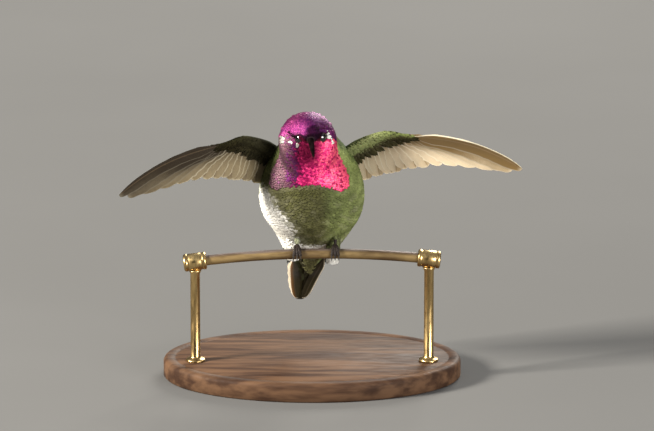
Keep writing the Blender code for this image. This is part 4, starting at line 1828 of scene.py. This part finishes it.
@dataclass(frozen=True)
class Quill:
    """One flight or tail feather: root, tip and the sizes of its blade."""

    root: Pair
    tip: Pair
    bow: float
    lead: float
    trail: float
    height: float
    point: float = 0.5
    rim: float = 0.6
    # painted highlight: a pale rim along the leading edge, where the quill catches the light
    lit_lead_rim: float = 0.0
    lead_taper: float = 0.0
    tone: float = 0.0
    rim_side: float = 1.0
    thickness: float = 0.07


@dataclass
class Blade:
    """Meshes a quill on any sheet that places (p, q, height)."""

    place: Callable[[Array, Array, Array], Array]
    rows: int = 46
    columns: int = 8

    def mesh(self, quill: Quill, index: int, total: int) -> MeshData:
        """Mesh one quill as a closed thin blade with a raised shaft.

        Args:
            quill: its plan and sizes.
            index: its number in the row.
            total: quills in the row.

        Returns:
            The blade with its barb values and its strip of the OFBake map.
        """
        along, across, outer, quads = Vane(self.rows, self.columns).grid()
        inside = (outer < 0).astype(float)
        rng = np.random.default_rng(SEED * 100 + index)
        root, tip = np.array(quill.root), np.array(quill.tip)
        reach = math.dist(root, tip)
        ahead = (tip - root) / reach
        side = np.array([-ahead[1], ahead[0]])
        if side[1] < 0:
            side = -side
        a, c = along, across
        bow = quill.bow * np.sin(math.pi * a ** 0.9)
        centre = root + ahead * (a * reach)[:, None] - side * bow[:, None]
        open_up = ease(0.0, 0.22, a)
        close = np.clip(1 - np.clip((a - quill.point) / (1 - quill.point), 0, 1) ** 2.4, 0, 1) ** 0.55
        half = np.where(c < 0, quill.lead, quill.trail) * (0.12 + 0.88 * open_up) * (0.06 + 0.94 * close)
        wear = np.interp(a, np.linspace(0, 1, 24), rng.standard_normal(24))
        frayed = 1 + 0.05 * wear * (np.abs(c) > 0.9)
        flat = centre + side * (c * half * frayed)[:, None]
        ridge = 0.05 * np.exp(-(c / 0.10) ** 2) * (1 - 0.7 * a)
        cup = -0.012 * quill.trail * c ** 2
        height = quill.height + cup + ridge - inside * quill.thickness * (1 - 0.5 * np.abs(c))
        points = self.place(flat[:, 0], flat[:, 1], height)
        barb = np.column_stack([c, a, np.full(len(a), rng.uniform())])
        rim = quill.rim * ease(-0.1, 0.1, c * quill.rim_side + (a > 0.97))
        web = np.column_stack([0.5 - 0.5 * outer, rim, quill.lit_lead_rim * (1.0 - quill.lead_taper * a)])
        uv = np.column_stack([(index + 0.5 + 0.42 * c) / total, 0.02 + 0.96 * a])
        tone = np.full(len(a), quill.tone)
        return MeshData(points, quads, {"barb": barb, "web": web, "tone": tone}, uv)

    def fan(self, quills: list[Quill]) -> MeshData:
        """Mesh a row of quills as one."""
        return MeshData.join([self.mesh(q, i, len(quills)) for i, q in enumerate(quills)])


@dataclass
class Wing:
    """Primaries, secondaries and coverts of one wing."""

    side: Side
    quill_finish: Material
    coat_finish: Material
    primary_tips: tuple[Pair, ...] = (
        (53.3, 7.9), (50.2, 8.8), (45.2, 8.2), (39.6, 7.2), (34.0, 6.5), (28.8, 6.2),
        (24.2, 6.9), (20.4, 7.5), (17.0, 7.9), (14.0, 9.3))
    secondary_tips: tuple[Pair, ...] = (
        (12.6, 9.8), (11.4, 10.0), (8.6, 10.8), (7.7, 11.1), (4.6, 12.4), (3.6, 12.7))

    def primaries(self) -> list[Quill]:
        """Ten primaries, the outermost first.

        Returns:
            Their plans.
        """
        made = []
        lit = self.side is Side.LEFT
        tones = (1.0, 0.55, 0.22, 0.05) if lit else (0.82, 0.60, 0.45, 0.30, 0.18, 0.10)
        for i, (p, q) in enumerate(self.primary_tips):
            f = i / 9
            root = (19.5 - 7.0 * f, -4.6 - 0.4 * math.sin(math.pi * f))
            q = q - (1.0 * math.sin(math.pi * min(1.0, (i + 0.6) / 6.6)) if lit else 0.0)
            size = math.dist(root, (p, q))
            made.append(Quill(root, (p, q), 0.045 * size * (1 - 0.5 * f) + (1.6 if i == 0 else 0.6),
                              1.7 + 1.3 * f, 3.4 + 0.4 * math.sin(math.pi * f), 0.06 * i - 0.30,
                              0.62, (0.35 if i < 4 else 0.7) if lit else (0.7 if i > 3 else 0.2),
                              0.44 if lit and i == 0 else 0.0, 0.5,
                              tone=tones[i] if i < len(tones) else 0.0))
        return made

    def secondaries(self) -> list[Quill]:
        """Six secondaries in pairs, from the wrist inward."""
        return [Quill((10.6 - 8.6 * (i / 5), -3.6 + 3.6 * (i / 5)), tip, 0.2, 2.5, 2.9, 0.34 + 0.06 * i,
                      0.62, 0.9) for i, tip in enumerate(self.secondary_tips)]

    def coverts(self, face: Face) -> FeatherBed:
        """Small feathers over the arm and the quills' roots.

        Args:
            face: upper or under side.

        Returns:
            The feathers.
        """
        surface = WingSurface(PLANS[self.side], face)

        def depth(u: Array) -> Array:
            """How far back the coverts reach."""
            ends = (3.6, 1.7, 1.1) if self.side is Side.LEFT else (4.2, 3.0, 1.3)
            return np.interp(u, (-1, 6, 12, 18, 22, 29), (8.5, 8.5, 6.6) + ends)

        def spacing(u: Array, v: Array) -> Array:
            """Least distance between roots, none outside the coverts.

            Args:
                u: distances out from the shoulder.
                v: distances back from its line.

            Returns:
                Millimetres, 0 for no feather.
            """
            front = read_edge(LEADING_EDGE, u)
            share = (v - front) / depth(u)
            ok = (share > (0.02 if face is Face.UNDER else 0.13)) & (share < 0.72)
            return np.where(ok, 0.50 + 0.55 * np.clip(share, 0, 1), 0.0)

        reach = 22.5 if self.side is Side.LEFT else 28.0
        u, v = scatter(surface, (-0.5, reach), (-7.2, 9.0), spacing, 24000,
                       SEED + 7 + face.value + self.side.value)
        rng = np.random.default_rng(SEED + 9)
        count = len(u)
        front = read_edge(LEADING_EDGE, u)
        share = np.clip((v - front) / depth(u), 0, 1)
        length = 1.25 + 3.3 * share * ease(34, 12, u) + rng.normal(0, 0.10, count)
        width = 1.1 + 0.9 * share
        out = np.arctan2(1.0, 0.35 + 0.12 * np.clip(u, 0, 30)) + rng.normal(0, 0.10, count)
        turn = np.where(share < 0.10, out * 0.55, out)
        near = ease(16.0, 7.0, u)
        marks = np.column_stack([np.zeros(count), np.zeros(count), 0.16 * (1 - share) * near])
        # painted shade on the under coverts: the left wing's darken towards their hind rows and outward,
        # the right wing's are dark all over and less green
        inner = 0.27 * ease(7.0, 15.0, u)
        dusk = np.maximum(0.62 * ease(0.0, 0.24, share - 0.34 + inner), 0.30 * ease(8, 16, u))
        if self.side is Side.RIGHT:
            dusk = np.full(count, 0.80)
        if face is Face.UPPER:
            dusk = 0.75 * ease(12.0, 20.0, u)
        hue = 0.7 - 0.6 * ease(0.0, 0.25, share - 0.30 + inner)
        if self.side is Side.RIGHT and face is Face.UNDER:
            hue = 0.2 * hue
        play = np.column_stack([rng.uniform(0, 1, count), dusk, hue])
        lift = 0.03 + 0.12 * ease(0.0, 0.4, share)
        return FeatherBed(surface, u, v, length, width, turn, np.full(count, -0.10),
                          lift + 0.03 * rng.standard_normal(count), marks, play)

    def build(self) -> list[Object]:
        """Make the quills and the coverts.

        Returns:
            The finished pieces.
        """
        word = self.side.word
        blade = Blade(PLANS[self.side].place)
        rows = {"primaries": self.primaries(), "secondaries": self.secondaries()}
        made = [add_piece(f"{row}_{word}", blade.fan(quills), self.quill_finish, "flight_feather",
                          f"wing_{row}_{word}", creased=True) for row, quills in rows.items()]
        for face in Face:
            made.append(add_piece(f"{face.name.lower()}_wing_coverts_{word}", self.coverts(face).mesh(),
                                  self.coat_finish, "wing_covert"))
        return made


@dataclass
class Tail:
    """Ten closed tail feathers, the outer ones lowest."""

    finish: Material

    tips: tuple[float, ...] = (23.6, 23.5, 23.2, 22.6, 22.0)
    half_width: float = 1.72
    levels: dict[int, tuple[float, ...]] = field(default_factory=lambda: {
        -1: (0.75, 0.35, -0.15, -0.60, -0.92), 1: (0.70, 0.30, -0.10, -0.52, -0.80)})
    start: float = 12.4
    sections: float = 5.6
    reach: float = 24.0

    def place(self, level: float, p: Array, q: Array, height: Array) -> Array:
        """Point p down the tail and q across it, on a curved layer between its two faces.

        Args:
            level: the layer, from -1 at the lower face to 1 at the upper one.
            p: distance from the coverts' start.
            q: distance from the middle line.
            height: distance towards the back.

        Returns:
            Points in millimetres.
        """
        u = self.start + np.asarray(p) * self.sections / self.reach
        x, y, z, half_y, half_z, width = body_rows(u)
        depth = np.hypot(half_y, half_z)
        bend = np.sqrt(np.clip(1 - (np.asarray(q) / (width + 0.6)) ** 2, 0.05, 1))
        rise = level * bend + np.asarray(height) / np.maximum(depth, 0.6)
        return np.stack([x + q, y + half_y * rise, z + half_z * rise], axis=-1)

    def build(self) -> Object:
        """Make the tail feathers.

        Returns:
            The finished piece.
        """
        parts = []
        last, total = len(self.tips) - 1, 2 * len(self.tips)
        for side, levels in self.levels.items():
            for i, (reach, level) in enumerate(zip(self.tips, levels)):
                root, tip = side * (0.4 + 1.12 * i), side * (0.10 + 0.22 * i) - 0.5
                quill = Quill((1.0 + 0.2 * i, root), (reach, tip), 0.0, self.half_width, self.half_width,
                              0.0, 0.45, rim=0.9 if i == last else 0.0,
                              lit_lead_rim=0.72 if i == last and side < 0 else 0.0, lead_taper=0.62,
                              rim_side=side)
                blade = Blade(partial(self.place, level), rows=40)
                parts.append(blade.mesh(quill, len(parts), total))
        return add_piece("tail_quills", MeshData.join(parts), self.finish, "tail_feather", creased=True)


@dataclass
class Bill:
    """Needle bill with a line between its halves."""

    length: float = 18.0
    base: Triple = (-0.30, -17.2, 40.65)
    yaw: float = 0.9
    drop: float = 0.3
    half_width: float = 1.0
    half_height: float = 0.9
    tip: float = 0.26

    def build(self) -> Object:
        """Make the bill.

        Returns:
            The finished piece.
        """
        angles = np.linspace(0, 2 * math.pi, 40, endpoint=False)
        groove = np.ones(len(angles))
        for off in (np.abs(angles - math.pi), np.minimum(angles, 2 * math.pi - angles)):
            groove *= 1 - 0.13 * np.exp(-((off / 0.10) ** 2))
        rings = []
        for f in np.linspace(0, 1, 60):
            taper = (1 - f) ** 0.75
            w = self.tip + (self.half_width - self.tip) * taper
            h = self.tip * 0.9 + (self.half_height - self.tip * 0.9) * taper
            if f > 0.97:
                w, h = w * 0.7, h * 0.7
            y = self.base[1] - (self.length + 0.95) * f
            rings.append(np.column_stack([self.base[0] + self.yaw * f + np.cos(angles) * w * groove,
                                          np.full(len(angles), y),
                                          self.base[2] - self.drop * f + np.sin(angles) * h * groove]))
        horn = HardFinish("black horn", (0.008, 0.005, 0.005), (0.003, 0.002, 0.002), 0.75,
                          scale=500.0, stretch=(3.0, 0.3, 3.0), specular=0.0)
        return add_piece("bill_horn", loft(np.array(rings)), horn.material(), "horn", "bill")


@dataclass
class Claws:
    """Black claws of both feet."""

    skin: Skin

    def build(self) -> Object:
        """Make the claws.

        Returns:
            The finished piece.
        """
        parts = []
        for x in FOOT_X.values():
            plans = [(s, 84.0, 134.0) for s in TOE_SPREADS] + [(HIND_TOE, -90.0, -130.0)]
            for spread, start, stop in plans:
                f = np.linspace(0, 1, 16)
                angle = np.radians(start + (stop - start) * f)
                line = self.skin.curl(x, spread * (1.20 + 0.14 * f), angle, 0.35 * f ** 1.5)
                parts.append(sweep(line, 0.33 * (1 - f) ** 0.8 + 0.05, 12))
        horn = HardFinish("claw horn", (0.05, 0.04, 0.032), (0.012, 0.010, 0.009), 0.3, scale=1500.0)
        return add_piece("claws", MeshData.join(parts), horn.material(), "horn")


@dataclass(frozen=True)
class WireFinish:
    """Golden-brown weathered wire with a painted greyish reflection of the sky along its top."""

    gold: Colour = (0.23, 0.155, 0.063)
    brown: Colour = (0.10, 0.060, 0.025)
    bloom: Colour = (0.13, 0.105, 0.115)

    def material(self) -> Material:
        """Material that reads how high each point is on the wire.

        Returns:
            A half-metallic Principled material.
        """
        made, n, shader, _ = new_material("weathered wire")
        high, place = n.carried("high", "Fac"), n.place((0.2, 1.0, 1.0))
        coarse, fine = n.noise(330.0, 4.0, place), n.noise(2600.0, 3.0, place)
        base = n.mix(n.span(coarse, 0.35, 0.62), self.brown, self.gold)
        # painted reflection of the sky along the wire's top, broken up by noise
        base = n.mix(n.times(n.span(n.plus(high, coarse), 1.05, 1.55), 0.75), base, self.bloom)
        # darker and browner along the wire's underside
        base = n.mix(n.times(n.span(high, -0.5, -0.95), 0.7), base, self.brown)
        n.wire(shader, Base_Color=base, Roughness=n.span(fine, 0.3, 0.7, 0.36, 0.55), Metallic=0.45,
               Normal=n.bump(n.plus(coarse, n.times(fine, 0.5)), 0.5, 0.00006))
        return made


@dataclass
class PerchWire:
    """Weathered garden wire between the stand's sleeves."""

    reach: float = 36.5
    sides: int = 28

    def build(self) -> Object:
        """Make the wire.

        Returns:
            The finished piece.
        """
        x = np.linspace(-self.reach, self.reach, 120)
        line = np.column_stack([x, np.zeros_like(x), wire_z(x)])
        data = sweep(line, np.full(len(x), WIRE_RADIUS), self.sides)
        data.values["high"] = (data.points[:, 2] - np.repeat(line[:, 2], self.sides)) / WIRE_RADIUS
        return add_piece("wire", data, WireFinish().material(), "perch_wire", "perch_wire")


@dataclass
class Stand:
    """Oval wooden base with two brass rods and their sleeves."""

    length: float = 92.0
    width: float = 62.0
    thickness: float = 6.0
    edge: float = 1.4
    spread: float = 36.0

    sleeve: tuple[Pair, ...] = (
        (-3.5, 1.7), (-3.5, 2.35), (-3.2, 2.7), (-2.4, 2.7), (-2.2, 2.5), (-1.9, 2.7),
        (1.9, 2.7), (2.2, 2.5), (2.4, 2.7), (3.2, 2.7), (3.5, 2.35), (3.5, 1.7))
    foot: tuple[Pair, ...] = (
        (-1.5, 1.5), (0.0, 1.5), (0.01, 3.0), (0.5, 3.0), (0.8, 2.7), (0.9, 1.9), (1.6, 1.5))
    neck: tuple[Pair, ...] = ((-1.2, 1.5), (-0.4, 1.9), (0.0, 1.9))

    def base(self) -> Object:
        """Oval board with a rounded top edge and a fine groove.

        Returns:
            The finished piece.
        """
        angles = np.linspace(0, 2 * math.pi, 160, endpoint=False)
        edge, top = self.edge, self.thickness
        profile = [(-0.5, 0.0), (0.0, 0.5)]
        profile += [(-edge + edge * math.cos(t), top - edge + edge * math.sin(t))
                    for t in np.linspace(0, math.pi / 2, 8)]
        profile += [(-edge - 1.6, top), (-edge - 2.0, top - 0.25), (-edge - 2.6, top - 0.25),
                    (-edge - 3.0, top)]
        rings = [np.column_stack([(0.5 * self.length + i) * np.cos(angles),
                                  (0.5 * self.width + i) * np.sin(angles) - WIRE_Y,
                                  np.full(len(angles), z - WIRE_HEIGHT)]) for i, z in profile]
        wood = HardFinish("stained wood", (0.115, 0.062, 0.034), (0.040, 0.020, 0.012), 0.62,
                          scale=260.0, stretch=(0.12, 1.0, 1.0), bump_depth=0.00008, specular=0.10)
        return add_piece("base_board", loft(np.array(rings)), wood.material(), "stand_wood",
                         "stand_base")

    def build(self) -> list[Object]:
        """Make the base, rods and sleeves.

        Returns:
            The finished pieces.
        """
        made = [self.base()]
        brass = HardFinish("aged brass", (0.60, 0.43, 0.19), (0.36, 0.24, 0.10), 0.30, 1.0, 300.0,
                           (1.0, 1.0, 0.15), 0.00001).material()
        for side in Side:
            x = side.value * self.spread
            z = wire_z(x)
            top, bottom = z - 2.5, -WIRE_HEIGHT + self.thickness
            rod = [(bottom + d, r) for d, r in self.foot] + [(top + d, r) for d, r in self.neck]
            slope = (1, 0, 2 * WIRE_BOW * (WIRE_PEAK - x))
            turned = {"rod": turn_profile(rod, (x, 0, 0), (0, 0, 1), 40),
                      "sleeve": turn_profile(self.sleeve, (x, 0, z), slope, 40)}
            for name, data in turned.items():
                made.append(add_piece(f"{name}_{side.word}", data, brass, "stand_brass",
                                      f"stand_{name}_{side.word}"))
        return made


@dataclass(frozen=True)
class Lamp:
    """Soft square light that faces the bird: its place and side in metres, its power in watts."""

    name: str
    place: Triple
    size: float
    power: float
    colour: Colour

    def build(self) -> None:
        """Add the light."""
        light = bpy.data.lights.new(self.name, "AREA")
        light.size, light.energy, light.color = self.size, self.power, self.colour
        made = put_in_scene(self.name, light)
        made.location = self.place
        away = np.array(self.place) - to_frame(np.array([0.0, 0.0, 20.0]))
        flat = math.hypot(away[0], away[1])
        made.rotation_euler = (math.atan2(flat, away[2]), 0.0, math.atan2(away[0], -away[1]))


@dataclass
class Studio:
    """Pale floor and backdrop, soft lights and the camera."""

    elevation: float = 15.0
    distance: float = 2.0
    frame_width: float = 0.2012
    aim: Pair = (4.6, 12.0)
    lamps: tuple[Lamp, ...] = (
        Lamp("key", (-1.45, -0.55, 0.75), 0.35, 86.0, (1.0, 0.95, 0.86)),
        Lamp("fill", (1.30, -1.50, 0.22), 1.0, 66.0, (1.0, 0.98, 0.95)),
        Lamp("rim", (0.5, 1.3, 0.8), 0.7, 32.0, (1.0, 0.96, 0.88)))

    def camera(self) -> None:
        """Aim a long lens at the bird, a little from above."""
        tilt = math.radians(self.elevation)
        target = to_frame(np.array([self.aim[0], 0.0, 0.0]))
        up = np.array([0.0, math.sin(tilt), math.cos(tilt)])
        target = target + up * self.aim[1] * MM
        back = np.array([0.0, -math.cos(tilt), math.sin(tilt)])
        lens = bpy.data.cameras.new("camera")
        lens.sensor_width = 36.0
        lens.lens = 36.0 * self.distance / self.frame_width
        lens.clip_start = 0.05
        made = put_in_scene("camera", lens)
        made.location = tuple(target + back * self.distance)
        made.rotation_euler = (math.pi / 2 - tilt, 0.0, 0.0)
        bpy.context.scene.camera = made

    def floor(self) -> None:
        """Round floor that curves up into a low wall all the way round."""
        flat, bend, top, count = 3.2, 1.2, 2.6, 96
        profile = [(0.0, 0.0), (0.6, 0.0), (1.8, 0.0), (flat, 0.0)]
        profile += [(flat + bend * math.sin(t), bend - bend * math.cos(t))
                    for t in np.linspace(0.12, math.pi / 2, 14)]
        profile += [(flat + bend, top)]
        turns = np.linspace(0, 2 * math.pi, count, endpoint=False)
        points = [(0.0, 0.0, 0.0)]
        points += [(r * math.cos(t), r * math.sin(t), z) for r, z in profile[1:] for t in turns]
        faces = [(0, 1 + a, 1 + b) for a, b in ring_pairs(count)]
        faces += [(i + a, i + count + a, i + count + b, i + b)
                  for i in range(1, count * (len(profile) - 2), count) for a, b in ring_pairs(count)]
        mesh = bpy.data.meshes.new("floor")
        mesh.from_pydata(points, [], faces)
        mesh.shade_smooth()
        made = put_in_scene("floor", mesh)
        paper = HardFinish("pale paper", (0.152, 0.151, 0.148), (0.143, 0.142, 0.139), 0.9,
                           scale=3.0, bump_depth=0.0, specular=0.0)
        made.data.materials.append(paper.material())

    def build(self) -> None:
        """Set up the studio."""
        self.camera()
        self.floor()
        for lamp in self.lamps:
            lamp.build()
        bpy.context.scene.view_settings.view_transform = "Standard"
        world = bpy.data.worlds.new("studio")
        world.use_nodes = True
        tree = world.node_tree
        Nodes(tree).wire(tree.nodes["Background"], Color=(0.80, 0.82, 0.86), Strength=0.50)
        bpy.context.scene.world = world


def main() -> None:
    """Build every sub-assembly and report each piece."""
    logging.basicConfig(level=logging.INFO, format="%(message)s")
    studio = Studio()
    studio.build()
    plumage = PlumageFinish()
    coat, under = plumage.coat(), plumage.skin()
    toes = HardFinish("scaled toe skin", (0.032, 0.022, 0.018), (0.010, 0.007, 0.006), 0.6,
                      scale=2200.0, specular=0.2).material()
    skin = Skin()
    skin.build(under, toes)
    Coat(coat).build()
    ThighTufts(coat).build()
    # One kind of quill painted twice: the left wing's pale cream underside is painted sunlight shining
    # through it, the right wing's darker one painted shade.
    lit = QuillFinish("left flight quill", (0.16, 0.125, 0.09), (0.90, 0.76, 0.54), (0.26, 0.19, 0.09),
                      (0.94, 0.88, 0.72), (0.30, 0.20, 0.10), (0.90, 0.68, 0.40), 0.42, contrast=0.52)
    shaded = QuillFinish("right flight quill", (0.15, 0.12, 0.09), (0.37, 0.29, 0.165),
                         (0.10, 0.085, 0.075), (0.70, 0.62, 0.44), (0.16, 0.11, 0.06),
                         (0.50, 0.38, 0.20), 0.30, contrast=0.32)
    for side, quill in ((Side.LEFT, lit), (Side.RIGHT, shaded)):
        Wing(side, quill.material(), coat).build()
    dusky = QuillFinish("tail quill", (0.028, 0.034, 0.022), (0.020, 0.015, 0.003),
                        (0.55, 0.50, 0.45), (0.74, 0.64, 0.48), (0.05, 0.035, 0.02),
                        (0.25, 0.16, 0.08), 0.15, 0.2, rust=0.7, specular=0.1)
    Tail(dusky.material()).build()
    Bill().build()
    for eye in EYES.values():
        eye.ball()
        eye.lids(under)
    Claws(skin).build()
    PerchWire().build()
    Stand().build()


if __name__ == "__main__":
    main()
